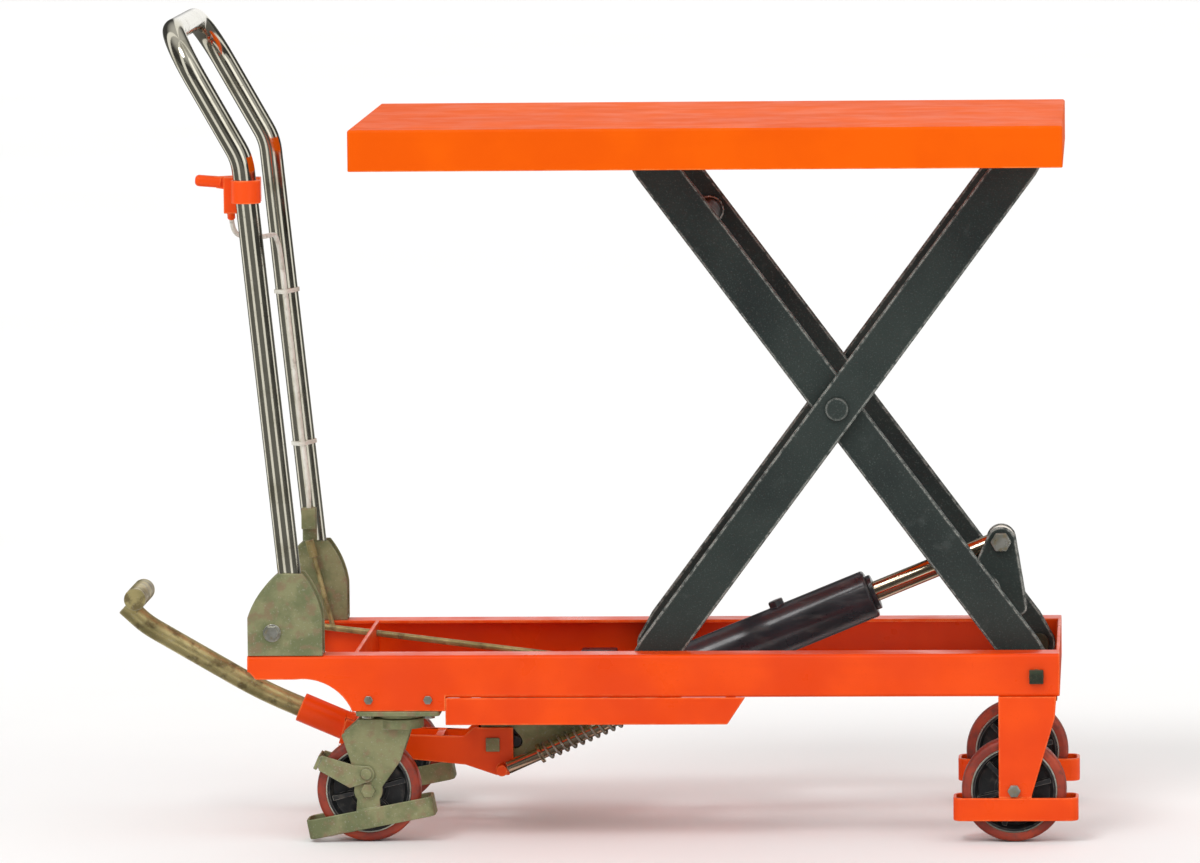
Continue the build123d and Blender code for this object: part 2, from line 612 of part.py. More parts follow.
rib_depth = 13.0
rib_half_length = 122.0
rib_places = (platform_front_x + 60, platform_front_x + 290, platform_front_x + 560, platform_rear_x - 60)
with BuildPart() as platform_underframe:
    channel(rail_outer_y, channel_bottom_z, channel_top_z, platform_front_x + 8, platform_rear_x - 8, 3)
    block(base_pivot_x - 16, base_pivot_x + 16, -rail_outer_y + 2, -rail_inner_y,
          channel_bottom_z + 2, channel_top_z - 2)
    mirror(about=Plane.XZ)
    disc_y(base_pivot_x, table_pivot_z, pin_radius, -rail_outer_y - 1, rail_outer_y + 1, Mode.SUBTRACT)
    for rib_x in rib_places:
        block(rib_x - 20, rib_x + 20, -rib_half_length, rib_half_length, channel_top_z - rib_depth, channel_top_z)
        block(rib_x - 17, rib_x + 17, -rib_half_length - 1, rib_half_length + 1,
              channel_top_z - rib_depth + 3, channel_top_z + 1, Mode.SUBTRACT)
        for side in (-1, 1):
            block(rib_x + side * 28 - 10, rib_x + side * 28 + 10, -rib_half_length, rib_half_length,
                  channel_top_z - 3, channel_top_z)
save(platform_underframe.part, "platform_underframe")

with BuildPart() as platform_pivot_pins:
    for side in (-1, 1):
        disc_y(base_pivot_x, table_pivot_z, pin_radius, side * (outer_arm_y - 3), side * (rail_outer_y + 1))
        disc_y(base_pivot_x, table_pivot_z, 12, side * (outer_arm_y - 4), side * (outer_arm_y - side_gap))
        hex_y(base_pivot_x, table_pivot_z, 20, side * rail_outer_y, side * (rail_outer_y + 7))
save(platform_pivot_pins.part, "platform_pivot_pins")

# ---- Lift cylinder: barrel with foot eye, gland and piston rod ----
with BuildPart() as ram_cylinder:
    with BuildSketch(ram_plane(ram_front)):
        Circle(ram_radius)
    extrude(amount=ram_rear - ram_front)
    chamfer(ram_cylinder.edges().filter_by(GeomType.CIRCLE), 2)
    with BuildSketch(ram_plane(ram_front - 1)):
        Circle(ram_bore_radius)
    extrude(amount=ram_rear - ram_front - 12, mode=Mode.SUBTRACT)
    with BuildSketch(ram_plane(ram_rear - 1)):
        Circle(ram_neck_radius)
    extrude(amount=ram_length - ram_rear + 1)
    disc_y(ram_foot_x, ram_foot_z, ram_neck_radius + 2, -ear_inner_y + 2, ear_inner_y - 2)
    disc_y(ram_foot_x, ram_foot_z, trunnion_radius, -ear_outer_y, ear_outer_y)
    plug_x = lift_pin_x - 285 * cos(radians(ram_angle))
    plug_z = lift_pin_z - 285 * sin(radians(ram_angle))
    plug_normal = (-sin(radians(ram_angle)), 0, cos(radians(ram_angle)))
    with BuildSketch(Plane(origin=(plug_x, 0, plug_z), x_dir=(0, 1, 0), z_dir=plug_normal).offset(25)):
        RegularPolygon(9, 6, major_radius=False)
    extrude(amount=12)
save(ram_cylinder.part, "ram_cylinder")

with BuildPart() as gland_nut:
    with BuildSketch(ram_plane(ram_front - 6)):
        Circle(22)
    extrude(amount=6)
    with BuildSketch(ram_plane(ram_front)):
        Circle(ram_bore_radius)
    extrude(amount=14)
    with BuildSketch(ram_plane(ram_front - 7)):
        Circle(rod_radius + running_gap)
    extrude(amount=22, mode=Mode.SUBTRACT)
save(gland_nut.part, "gland_nut")

with BuildPart() as piston_rod:
    with BuildSketch(ram_plane(0)):
        Circle(rod_radius)
    extrude(amount=rod_end)
    with BuildSketch(ram_plane(rod_end - 22)):
        Circle(ram_bore_radius - 2 * running_gap)
    extrude(amount=22)
    disc_y(lift_pin_x, lift_pin_z, 17, -cheek_inner + side_gap, cheek_inner - side_gap)
    disc_y(lift_pin_x, lift_pin_z, pin_radius + running_gap, -30, 30, Mode.SUBTRACT)
save(piston_rod.part, "piston_rod")

# ---- Pump block: two ears under the tray with slots for the cylinder's foot, and the plunger barrel ----
# The foot drifts off its line in mid-travel, so the slots run from its end position to its mid position.
ram_travel = lift_angle - lowered_angle
lift_pin_reach = hypot(lift_pin_x - base_pivot_x, lift_pin_z - base_pivot_z)


def lift_pin_at(lowering):
    """Place of the lift pin after the inner arms have dropped by this many degrees."""
    angle = atan2(lift_pin_z - base_pivot_z, lift_pin_x - base_pivot_x) + radians(lowering)
    return base_pivot_x + lift_pin_reach * cos(angle), base_pivot_z + lift_pin_reach * sin(angle)


low_pin_x, low_pin_z = lift_pin_at(ram_travel)
mid_pin_x, mid_pin_z = lift_pin_at(ram_travel / 2)
low_length = hypot(low_pin_x - ram_foot_x, low_pin_z - ram_foot_z)
low_angle = degrees(atan2(low_pin_z - ram_foot_z, low_pin_x - ram_foot_x))
mid_length = (ram_length + low_length) / 2
mid_angle = radians((ram_angle + low_angle) / 2)
mid_foot_x = mid_pin_x - mid_length * cos(mid_angle)
mid_foot_z = mid_pin_z - mid_length * sin(mid_angle)
slot_radius = trunnion_radius + 1.0
barrel_cos = cos(radians(plunger_angle))
barrel_sin = sin(radians(plunger_angle))
block_rear_x = base_pivot_x - 526.0
barrel_shelf_x = base_pivot_x - 468.0


def plunger_plane(distance):
    """A plane square to the plunger, this far up its axis from the pedal's nose."""
    origin = (plunger_nose_x + distance * barrel_cos, plunger_y, plunger_nose_z + distance * barrel_sin)
    return Plane(origin=origin, x_dir=(0, 1, 0), z_dir=(barrel_cos, 0, barrel_sin))


with BuildPart() as pump_block:
    for ear_y in (-ear_outer_y, ear_inner_y):
        plate_y([(base_pivot_x - 682, tray_bottom_z), (base_pivot_x - 684, 92), (base_pivot_x - 676, 82),
                 (base_pivot_x - 640, 74), (base_pivot_x - 590, 96), (block_rear_x, 132),
                 (block_rear_x, tray_bottom_z)],
                ear_y, ear_y + ear_outer_y - ear_inner_y)
    block(base_pivot_x - 682, base_pivot_x - 677, -ear_outer_y, ear_outer_y, 98, tray_bottom_z)
    for side in (-1, 1):
        block(base_pivot_x - 690, block_rear_x, min(side * ear_inner_y, side * 98), max(side * ear_inner_y, side * 98),
              tray_bottom_z - 6, tray_bottom_z)
    block(block_rear_x - 1, barrel_shelf_x, -98, -ear_outer_y - 6, tray_bottom_z - 6, tray_bottom_z)
    block(base_pivot_x - 560, base_pivot_x - 497, plunger_y - barrel_radius - 1, plunger_y + barrel_radius + 1,
          tray_bottom_z - 7, tray_bottom_z + 1, Mode.SUBTRACT)
    with BuildSketch(plunger_plane(barrel_start)):
        Circle(barrel_radius)
    extrude(amount=42)
    with BuildSketch(plunger_plane(barrel_start - 4)):
        Circle(plunger_radius + running_gap)
    extrude(amount=40, mode=Mode.SUBTRACT)
    with BuildSketch(side_plane(ear_outer_y + 1)):
        SlotCenterPoint(((ram_foot_x + mid_foot_x) / 2, (ram_foot_z + mid_foot_z) / 2),
                        (mid_foot_x, mid_foot_z), 2 * slot_radius)
    extrude(amount=2 * ear_outer_y + 2, mode=Mode.SUBTRACT)
    for side in (-1, 1):
        disc_y(pedal_pivot_x, pedal_pivot_z, pedal_pin_radius, side * (ear_outer_y - 1), side * (lever_outer_y + 3))
        square_y(pedal_pivot_x, pedal_pivot_z, 17, side * (lever_outer_y + side_gap), side * (lever_outer_y + 4))
save(pump_block.part, "pump_block")

valve_z = crank_valve[1] + valve_slope * (valve_end_x - crank_valve[0])
with BuildPart() as release_valve:
    block(valve_end_x - 22, valve_end_x + 22, valve_rod_y - 16, valve_rod_y + 16,
          tray_bottom_z + rail_wall, valve_z + 14)
    fillet(release_valve.edges().filter_by(Axis.Z), 4)
    with BuildSketch(Plane(origin=(valve_end_x - 30, valve_rod_y, valve_z - 30 * valve_slope), x_dir=(0, 1, 0),
                           z_dir=(1, 0, valve_slope))):
        Circle(4 + running_gap)
    extrude(amount=40, mode=Mode.SUBTRACT)
save(release_valve.part, "release_valve")

# ---- Pump plunger and its return spring ----
plunger_head = 4.5
plunger_nose_gap = 7.5
spring_seat = 50.0
plunger_inside = 188.0
with BuildPart() as pump_plunger:
    with BuildSketch(plunger_plane(spring_seat)):
        Circle(12.5)
    extrude(amount=plunger_head)
    with BuildSketch(plunger_plane(plunger_nose_gap)):
        Circle(plunger_radius)
    extrude(amount=plunger_inside - plunger_nose_gap)
save(pump_plunger.part, "pump_plunger")

spring_wire = 1.6
spring_radius = 11.0
spring_start = spring_seat + plunger_head + spring_wire + 0.1
spring_length = barrel_start - spring_start - spring_wire - 0.1
spring_turns = 11
with BuildPart() as plunger_spring:
    with BuildLine() as spring_path:
        Helix(spring_length / spring_turns, spring_length, spring_radius,
              center=tuple(plunger_plane(spring_start).origin), direction=(barrel_cos, 0, barrel_sin))
    with BuildSketch(Plane(origin=spring_path.line @ 0, z_dir=spring_path.line % 0)):
        Circle(spring_wire)
    sweep()
save(plunger_spring.part, "plunger_spring")

# ---- Foot pedal: a plated bar with a cross tread in a painted lever ----
bar_points = [(base_pivot_x - 850, 118), (base_pivot_x - 955, 163), (base_pivot_x - 1096, 245),
              (base_pivot_x - 1122, 269)]
socket_angle = degrees(atan2(bar_points[1][1] - bar_points[0][1], bar_points[0][0] - bar_points[1][0]))
socket_length = 62.0


def bar_plane(distance):
    """A plane square to the lower end of the pedal bar, facing up the bar."""
    along = (-cos(radians(socket_angle)), 0, sin(radians(socket_angle)))
    origin = (bar_points[0][0] + distance * along[0], 0, bar_points[0][1] + distance * along[2])
    return Plane(origin=origin, x_dir=(0, 1, 0), z_dir=along)


with BuildPart() as pedal_bar:
    with BuildLine() as bar_path:
        FilletPolyline(*[(x, 0, z) for x, z in bar_points], radius=[600, 120])
    with BuildSketch(bar_plane(0)):
        Circle(bar_radius)
    sweep()
    disc_y(base_pivot_x - 1105, 282, 13.5, -52, 52)
    chamfer(pedal_bar.edges().filter_by(GeomType.CIRCLE).sort_by(Axis.X)[:2], 1)
save(pedal_bar.part, "pedal_bar")

with BuildPart() as pedal_lever:
    for cheek_y in (-lever_outer_y, lever_inner_y):
        plate_y([(base_pivot_x - 643, 121), (base_pivot_x - 643, 72), (base_pivot_x - 648, 62),
                 (base_pivot_x - 664, 62), (base_pivot_x - 702, 75), (base_pivot_x - 790, 84),
                 (base_pivot_x - 858, 102), (base_pivot_x - 848, 132), (base_pivot_x - 790, 113),
                 (base_pivot_x - 704, 110), (base_pivot_x - 692, 121)],
                cheek_y, cheek_y + lever_outer_y - lever_inner_y)
    block(base_pivot_x - 806, base_pivot_x - 796, -lever_inner_y - 1, lever_inner_y + 1, 87, 111)
    block(base_pivot_x - 740, base_pivot_x - 730, -lever_inner_y - 1, lever_inner_y + 1, 80, 110)
    with BuildSketch(bar_plane(-6)):
        Circle(socket_radius)
    extrude(amount=socket_length + 6)
    plate_y([(base_pivot_x - 842, 102), (base_pivot_x - 856, 104), (base_pivot_x - 850, 130),
             (base_pivot_x - 836, 126)], -lever_inner_y - 1, lever_inner_y + 1)
    with BuildSketch(bar_plane(0)):
        Circle(bar_radius)
    extrude(amount=socket_length + 1, mode=Mode.SUBTRACT)
    disc_y(pedal_pivot_x, pedal_pivot_z, pedal_pin_radius + running_gap, -lever_outer_y - 1, lever_outer_y + 1,
           Mode.SUBTRACT)
    disc_y(plunger_nose_x, plunger_nose_z, 7, plunger_y - 6, -lever_inner_y)
save(pedal_lever.part, "pedal_lever")


# ---- Handle: a bent tube standing in two bolted brackets ----
def bracket_cheek(y):
    """One arched cheek of a handle bracket, from y towards -Y."""
    with BuildSketch(side_plane(y), mode=Mode.PRIVATE) as face:
        with BuildLine():
            Polyline((bracket_front_x, rail_top_z), (bracket_front_x, 276))
            RadiusArc((bracket_front_x, 276), (bracket_front_x + 38, 330), 110)
            Polyline((bracket_front_x + 38, 330), (bracket_front_x + 68, 330))
            RadiusArc((bracket_front_x + 68, 330), (bracket_rear_x, 276), 110)
            Polyline((bracket_rear_x, 276), (bracket_rear_x, rail_top_z), (bracket_front_x, rail_top_z))
        make_face()
    extrude(face.sketch, amount=4)


with BuildPart() as handle_bracket_right:
    bracket_cheek(-handle_y - handle_radius)
    bracket_cheek(-handle_y + handle_radius + 4)
    block(bracket_front_x, bracket_rear_x, -rail_outer_y, -rail_inner_y - 4, rail_top_z, rail_top_z + bracket_base)
    disc_y(handle_bolt_x, handle_bolt_z, 6, -rail_outer_y - 1, -rail_inner_y + 5, Mode.SUBTRACT)
save(handle_bracket_right.part, "handle_bracket_right")

with BuildPart() as handle_bracket_left:
    add(mirror(handle_bracket_right.part, about=Plane.XZ, mode=Mode.PRIVATE))
    plate_y([(stop_x - 9, 318), (stop_x + 9, 318), (stop_x + 9, stop_top_z), (stop_x - 9, stop_top_z)],
            handle_y - handle_radius - 3.6, handle_y - handle_radius)
    block(stop_x - 9, stop_x + 9, release_y - 7, handle_y - handle_radius, stop_top_z - 26, stop_top_z)
    with BuildSketch(Plane.XY.offset(stop_top_z - 30)):
        with Locations((stop_x, release_y)):
            Circle(3.4)
    extrude(amount=40, mode=Mode.SUBTRACT)
save(handle_bracket_left.part, "handle_bracket_left")

with BuildPart() as frame_bolts:
    for side in (-1, 1):
        disc_y(base_pivot_x, base_pivot_z, pin_radius, side * (rail_outer_y + 1), side * (inner_arm_y - 3))
        square_y(base_pivot_x, base_pivot_z, 17, side * rail_outer_y, side * (rail_outer_y + 6))
        disc_y(base_pivot_x, base_pivot_z, 13, side * (inner_arm_y - 4), side * (inner_arm_y - side_gap))
        for x in web_stud_x:
            disc_y(x, web_stud_z, web_stud_radius, side * (rail_outer_y - rail_wall), side * (rail_outer_y + 1))
            hex_y(x, web_stud_z, 10, side * rail_outer_y, side * (rail_outer_y + 3.5))
        disc_y(handle_bolt_x, handle_bolt_z, 6, side * (rail_inner_y - 4), side * (rail_outer_y + 1))
        disc_y(handle_bolt_x, handle_bolt_z, 11, side * rail_outer_y, side * (rail_outer_y + 2))
        hex_y(handle_bolt_x, handle_bolt_z, 16, side * (rail_outer_y + 2), side * (rail_outer_y + 8))
        hex_y(handle_bolt_x, handle_bolt_z, 16, side * (handle_y - handle_radius - 4),
              side * (handle_y - handle_radius - 11))
save(frame_bolts.part, "frame_bolts")

with BuildPart() as handle_tube:
    side_points = [handle_foot, handle_bend, handle_top]
    route = [(x, -handle_y, z) for x, z in side_points] + [(x, handle_y, z) for x, z in reversed(side_points)]
    with BuildLine() as handle_path:
        FilletPolyline(*route, radius=[70, 64, 64, 70])
    with BuildSketch(Plane(origin=handle_path.line @ 0, z_dir=handle_path.line % 0)):
        Circle(handle_radius)
        Circle(handle_radius - handle_wall, mode=Mode.SUBTRACT)
    sweep()
save(handle_tube.part, "handle_tube")

# ---- Release linkage: hand lever, cable, pull rod, crank and valve rod ----
tube_slope = (handle_bend[0] - handle_foot[0]) / (handle_bend[1] - handle_foot[1])


def tube_x_at(z):
    """X of the handle tube's centre line at this height, below its bend."""
    return handle_foot[0] + tube_slope * (z - handle_foot[1])


clamp_z = 792.0
clamp_radius = 18.0
lug_bottom_z = 764.0
lug_y = (-160.0, -146.0)
ferrule_radius = 4.8
ferrule_length = 14.0


def cable_exit_plane(distance):
    """A plane square to the cable where it leaves the lever's bracket, this far along it."""
    origin = (release_pivot[0] - 8, -154.5 + 0.6 * distance, lug_bottom_z + 5 - 0.8 * distance)
    return Plane(origin=origin, x_dir=(1, 0, 0), z_dir=(0, 0.6, -0.8))


with BuildPart() as release_bracket:
    with BuildSketch(Plane.XY.offset(clamp_z - 14)):
        with Locations((tube_x_at(clamp_z), -handle_y)):
            Circle(clamp_radius)
    extrude(amount=28)
    block(release_pivot[0] - 16, tube_x_at(clamp_z) + 16, *lug_y, clamp_z - 14, clamp_z + 16)
    block(release_pivot[0] - 16, release_pivot[0] + 2, *lug_y, lug_bottom_z, clamp_z)
    block(tube_x_at(clamp_z) - 12, tube_x_at(clamp_z) + 12, lug_y[0] - 6, lug_y[1], clamp_z - 14, clamp_z + 14)
    tube_axis = (tube_slope, 0, 1)
    with BuildSketch(Plane(origin=(tube_x_at(clamp_z - 40), -handle_y, clamp_z - 40), z_dir=tube_axis)):
        Circle(handle_radius)
    extrude(amount=90, mode=Mode.SUBTRACT)
    disc_y(release_pivot[0], release_pivot[1], 4, lug_y[1] - 1, lug_y[1] + 9)
    disc_y(release_pivot[0], release_pivot[1], 7, lug_y[1] + 8, lug_y[1] + 10)
    with BuildSketch(cable_exit_plane(0)):
        Circle(ferrule_radius)
    extrude(amount=ferrule_length)
save(release_bracket.part, "release_bracket")

lever_y = lug_y[1] + 0.4
lever_thickness = 7.0
with BuildPart() as release_lever:
    plate_y([(release_pivot[0] - 4, release_pivot[1] + 9), (release_pivot[0] + 9, release_pivot[1] + 2),
             (release_pivot[0] + 2, release_pivot[1] - 10), (release_pivot[0] - 26, release_pivot[1] - 6),
             (release_pivot[0] - 28, release_pivot[1] + 8)], lever_y, lever_y + lever_thickness)
    disc_y(release_pivot[0], release_pivot[1], 4 + running_gap, lever_y - 1, lever_y + 9, Mode.SUBTRACT)
    with BuildSketch(Plane(origin=(release_pivot[0] - 20, lever_y + lever_thickness / 2, release_pivot[1] + 1),
                           x_dir=(0, 1, 0), z_dir=(-1, 0, 0.08))):
        Circle(7)
    extrude(amount=32)
    fillet(release_lever.faces().sort_by(Axis.X)[0].edges(), 5)
save(release_lever.part, "release_lever")

# The cable leaves the bracket inwards and down, crosses to the left-hand tube and runs down it to the stop.
cable_route = [tuple(cable_exit_plane(ferrule_length).origin),
               tuple(cable_exit_plane(ferrule_length + 22).origin),
               (release_pivot[0] + 1, -92, 730),
               (release_pivot[0] + 12, -40, 726),
               (release_pivot[0] + 18, 10, 723),
               (release_pivot[0] + 22, 64, 721),
               (release_pivot[0] + 21, 112, 716),
               (tube_x_at(690), 149, 694),
               (tube_x_at(655), release_y + 6, 655),
               (tube_x_at(600), release_y + 7, 600),
               (tube_x_at(520) + 0.5, release_y + 6.4, 520),
               (tube_x_at(450), release_y + 6, 450),
               (stop_x + 0.6, release_y + 1.5, 402),
               (stop_x, release_y, stop_top_z)]


def route_radii(points):
    """Arc radii for a route: as large as the shorter run beside each corner allows."""
    vectors = [Vector(*points[i + 1]) - Vector(*points[i]) for i in range(len(points) - 1)]
    radii = []
    for before, after in zip(vectors, vectors[1:]):
        turn = radians(before.get_angle(after))
        radii.append(0.45 * min(before.length, after.length) / (sin(turn / 2) / cos(turn / 2)))
    return radii


cable_radii = route_radii(cable_route)
with BuildPart() as release_cable:
    with BuildLine() as cable_path:
        FilletPolyline(*cable_route, radius=cable_radii)
    with BuildSketch(Plane(origin=cable_path.line @ 0, z_dir=cable_path.line % 0)):
        Circle(cable_radius)
    sweep()
print("cable arc radii:", [round(radius) for radius in cable_radii])
cable_length = sum(edge.length for edge in cable_path.edges())
print("cable length:", round(cable_length, 1), "volume ratio:",
      round(release_cable.part.volume / (cable_length * pi * cable_radius ** 2), 4))
save(release_cable.part, "release_cable")

tie_width = 5.0
tie_side = -handle_radius - 5.0
with BuildPart() as cable_ties:
    for tie_z in (640.0, 450.0):
        tie_plane = Plane(origin=(tube_x_at(tie_z), handle_y, tie_z), x_dir=(0, 1, 0), z_dir=(tube_slope, 0, 1))
        with BuildSketch(tie_plane):
            with BuildLine() as rim:
                CenterArc((0, 0), handle_radius + 2, 0, 360)
                CenterArc((tie_side, 0), cable_radius + 3.6, 0, 360)
            make_hull(rim.edges())
            Circle(handle_radius, mode=Mode.SUBTRACT)
            with Locations((tie_side, 0)):
                Circle(cable_radius + 1.8, mode=Mode.SUBTRACT)
        extrude(amount=tie_width)
save(cable_ties.part, "cable_ties")

with BuildPart() as pull_rod:
    pull_plane = Plane(origin=(pull_top[0], release_y, pull_top[1]), x_dir=(0, 1, 0),
                       z_dir=(-pull_cos, 0, -pull_sin))
    with BuildSketch(pull_plane):
        Circle(3)
    extrude(amount=pull_length - 4)
    with BuildSketch(pull_plane):
        Circle(5.5)
    extrude(amount=22)
    disc_y(crank_pull[0], crank_pull[1], 7, release_y - 2.5, release_y + 2.5)
    disc_y(crank_pull[0], crank_pull[1], 3.6, release_y - 4, release_y + 4, Mode.SUBTRACT)
save(pull_rod.part, "pull_rod")


def crank_arm(end, y_from, y_to):
    """One arm of the crank from its pivot to an end, with a round boss at each."""
    with BuildSketch(side_plane(y_to), mode=Mode.PRIVATE) as face:
        with BuildLine() as rim:
            CenterArc((crank_pivot_x, crank_pivot_z), 9, 0, 360)
            CenterArc(end, 6, 0, 360)
        make_hull(rim.edges())
    extrude(face.sketch, amount=y_to - y_from)


with BuildPart() as release_crank:
    disc_y(crank_pivot_x, crank_pivot_z, 5, valve_rod_y - 6, release_y - 4)
    crank_arm(crank_pull, release_y - 9, release_y - 4)
    disc_y(crank_pull[0], crank_pull[1], 3, release_y - 5, release_y + 4)
    crank_arm(crank_valve, valve_rod_y - 11, valve_rod_y - 5.5)
    disc_y(crank_valve[0], crank_valve[1], 3, valve_rod_y - 6, valve_rod_y + 5)
save(release_crank.part, "release_crank")

with BuildPart() as valve_rod:
    with BuildSketch(Plane(origin=(crank_valve[0] + 4, valve_rod_y, crank_valve[1] + 4 * valve_slope),
                           x_dir=(0, 1, 0), z_dir=(1, 0, valve_slope))):
        Circle(4)
    extrude(amount=valve_end_x - 12 - crank_valve[0])
    disc_y(crank_valve[0], crank_valve[1], 8, valve_rod_y - 4, valve_rod_y + 4)
    disc_y(crank_valve[0], crank_valve[1], 3.6, valve_rod_y - 5, valve_rod_y + 5, Mode.SUBTRACT)
save(valve_rod.part, "valve_rod")
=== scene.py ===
"""The looks of a manual hydraulic scissor lift table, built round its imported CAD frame."""

import json
import math

import bmesh
import bpy
from mathutils import Matrix, Vector

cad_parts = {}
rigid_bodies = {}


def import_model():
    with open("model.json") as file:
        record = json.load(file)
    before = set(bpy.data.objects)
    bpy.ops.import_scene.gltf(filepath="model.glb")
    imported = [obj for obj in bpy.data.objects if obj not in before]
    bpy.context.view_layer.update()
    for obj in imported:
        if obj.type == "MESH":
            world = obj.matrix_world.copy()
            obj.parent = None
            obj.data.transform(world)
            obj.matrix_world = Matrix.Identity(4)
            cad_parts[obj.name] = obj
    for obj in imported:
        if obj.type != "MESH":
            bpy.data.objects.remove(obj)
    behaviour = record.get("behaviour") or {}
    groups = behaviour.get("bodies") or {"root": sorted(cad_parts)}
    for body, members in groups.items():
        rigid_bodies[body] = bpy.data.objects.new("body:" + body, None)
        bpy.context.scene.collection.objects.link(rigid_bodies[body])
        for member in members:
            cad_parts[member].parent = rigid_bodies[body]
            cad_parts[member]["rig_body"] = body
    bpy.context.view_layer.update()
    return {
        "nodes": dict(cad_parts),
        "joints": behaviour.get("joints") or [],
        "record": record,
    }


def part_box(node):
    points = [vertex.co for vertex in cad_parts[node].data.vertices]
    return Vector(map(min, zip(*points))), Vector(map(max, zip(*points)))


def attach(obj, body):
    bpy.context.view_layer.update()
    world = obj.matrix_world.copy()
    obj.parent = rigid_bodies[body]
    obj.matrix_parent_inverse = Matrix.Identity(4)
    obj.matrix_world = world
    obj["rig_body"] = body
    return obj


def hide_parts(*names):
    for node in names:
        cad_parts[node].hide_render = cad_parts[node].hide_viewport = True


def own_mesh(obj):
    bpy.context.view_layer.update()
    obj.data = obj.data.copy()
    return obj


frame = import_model()
nodes = frame["nodes"]
joints = {joint["name"]: joint for joint in frame["joints"]}
slot_of = {part["node"]: part["material_slot"] for part in frame["record"]["subparts"]}

MM = 0.001
BASE_X = joints["lift"]["pos_m"][0]


def at(x, y, z):
    """A point given in millimetres from the fixed base pivot's X, the centre line and the floor."""
    return Vector((BASE_X + x * MM, y * MM, z * MM))


# ---- Camera and light ----
def make_camera():
    """The camera at the product view's angle: far off, a little above and to the left."""
    yaw, pitch, roll = -0.0581, 0.1003, -0.0102  # radians
    place_mm = (104.26, -10984.2, 1588.8)
    lens_mm = 270.6
    ahead = Vector((math.sin(yaw) * math.cos(pitch), math.cos(yaw) * math.cos(pitch), -math.sin(pitch)))
    level = Vector((math.cos(yaw), -math.sin(yaw), 0))
    above = level.cross(ahead)
    right = level * math.cos(roll) + above * math.sin(roll)
    up = above * math.cos(roll) - level * math.sin(roll)
    data = bpy.data.cameras.new("view")
    data.sensor_width = 36
    data.lens = lens_mm
    data.clip_end = 400
    camera = bpy.data.objects.new("view", data)
    place = Matrix((right, up, -ahead)).transposed().to_4x4()
    place.translation = at(*place_mm)
    camera.matrix_world = place
    bpy.context.scene.collection.objects.link(camera)
    bpy.context.scene.camera = camera


def streaks(tree, x, y):
    """Bright strips on a dark surround, by the angle about Z, for polished tubes to mirror."""
    strips_round, turned = 5.0, 1.2
    angle = tree.nodes.new("ShaderNodeMath")
    angle.operation = "ARCTAN2"
    tree.links.new(x, angle.inputs[0])
    tree.links.new(y, angle.inputs[1])
    swing = tree.nodes.new("ShaderNodeMath")
    swing.operation = "MULTIPLY_ADD"
    swing.inputs[1].default_value = strips_round
    swing.inputs[2].default_value = turned
    tree.links.new(angle.outputs[0], swing.inputs[0])
    wave = tree.nodes.new("ShaderNodeMath")
    wave.operation = "SINE"
    tree.links.new(swing.outputs[0], wave.inputs[0])
    bands = tree.nodes.new("ShaderNodeMapRange")
    bands.interpolation_type = "SMOOTHSTEP"
    for key, value in (("From Min", 0.4), ("From Max", 0.8), ("To Min", 0.06), ("To Max", 1.1)):
        bands.inputs[key].default_value = value
    tree.links.new(wave.outputs[0], bands.inputs["Value"])
    return bands.outputs[0]


def make_light():
    """A bright even surround, streaks for polished metal to reflect, and two soft suns."""
    even_strength = 0.92
    world = bpy.data.worlds.new("studio")
    world.use_nodes = True
    tree = world.node_tree
    tree.nodes.clear()

    def add(kind, **settings):
        node = tree.nodes.new(kind)
        for key, value in settings.items():
            setattr(node, key, value)
        return node

    direction = add("ShaderNodeTexCoord").outputs["Generated"]
    split = add("ShaderNodeSeparateXYZ")
    tree.links.new(direction, split.inputs[0])
    bands = streaks(tree, split.outputs["X"], split.outputs["Y"])
    ceiling = add("ShaderNodeMapRange", interpolation_type="SMOOTHSTEP")
    ceiling.inputs["From Min"].default_value = 0.3
    ceiling.inputs["From Max"].default_value = 0.9
    ceiling.inputs["To Max"].default_value = 0.6
    tree.links.new(split.outputs["Z"], ceiling.inputs["Value"])
    room = add("ShaderNodeMath", operation="MAXIMUM")
    tree.links.new(bands, room.inputs[0])
    tree.links.new(ceiling.outputs[0], room.inputs[1])
    path = add("ShaderNodeLightPath")
    choose = add("ShaderNodeMix", data_type="FLOAT")
    choose.inputs["A"].default_value = even_strength
    tree.links.new(path.outputs["Is Glossy Ray"], choose.inputs["Factor"])
    tree.links.new(room.outputs[0], choose.inputs["B"])
    back = add("ShaderNodeBackground")
    back.inputs["Color"].default_value = (1.0, 0.995, 0.985, 1)
    tree.links.new(choose.outputs["Result"], back.inputs["Strength"])
    out = add("ShaderNodeOutputWorld")
    tree.links.new(back.outputs[0], out.inputs["Surface"])
    bpy.context.scene.world = world
    for name, strength, spread, tilt in (("key", 0.85, 22, (40, 0, -30)), ("fill", 0.25, 50, (60, 0, 40))):
        data = bpy.data.lights.new(name, "SUN")
        data.energy = strength
        data.angle = math.radians(spread)
        lamp = bpy.data.objects.new(name, data)
        lamp.rotation_euler = [math.radians(turn) for turn in tilt]
        bpy.context.scene.collection.objects.link(lamp)
    bpy.context.scene.view_settings.view_transform = "Standard"


# ---- Materials ----
def tint(red, green, blue):
    """A scene-linear colour from 0-255 display values."""
    def linear(value):
        value /= 255
        return value / 12.92 if value <= 0.04045 else ((value + 0.055) / 1.055) ** 2.4
    return (linear(red), linear(green), linear(blue), 1.0)


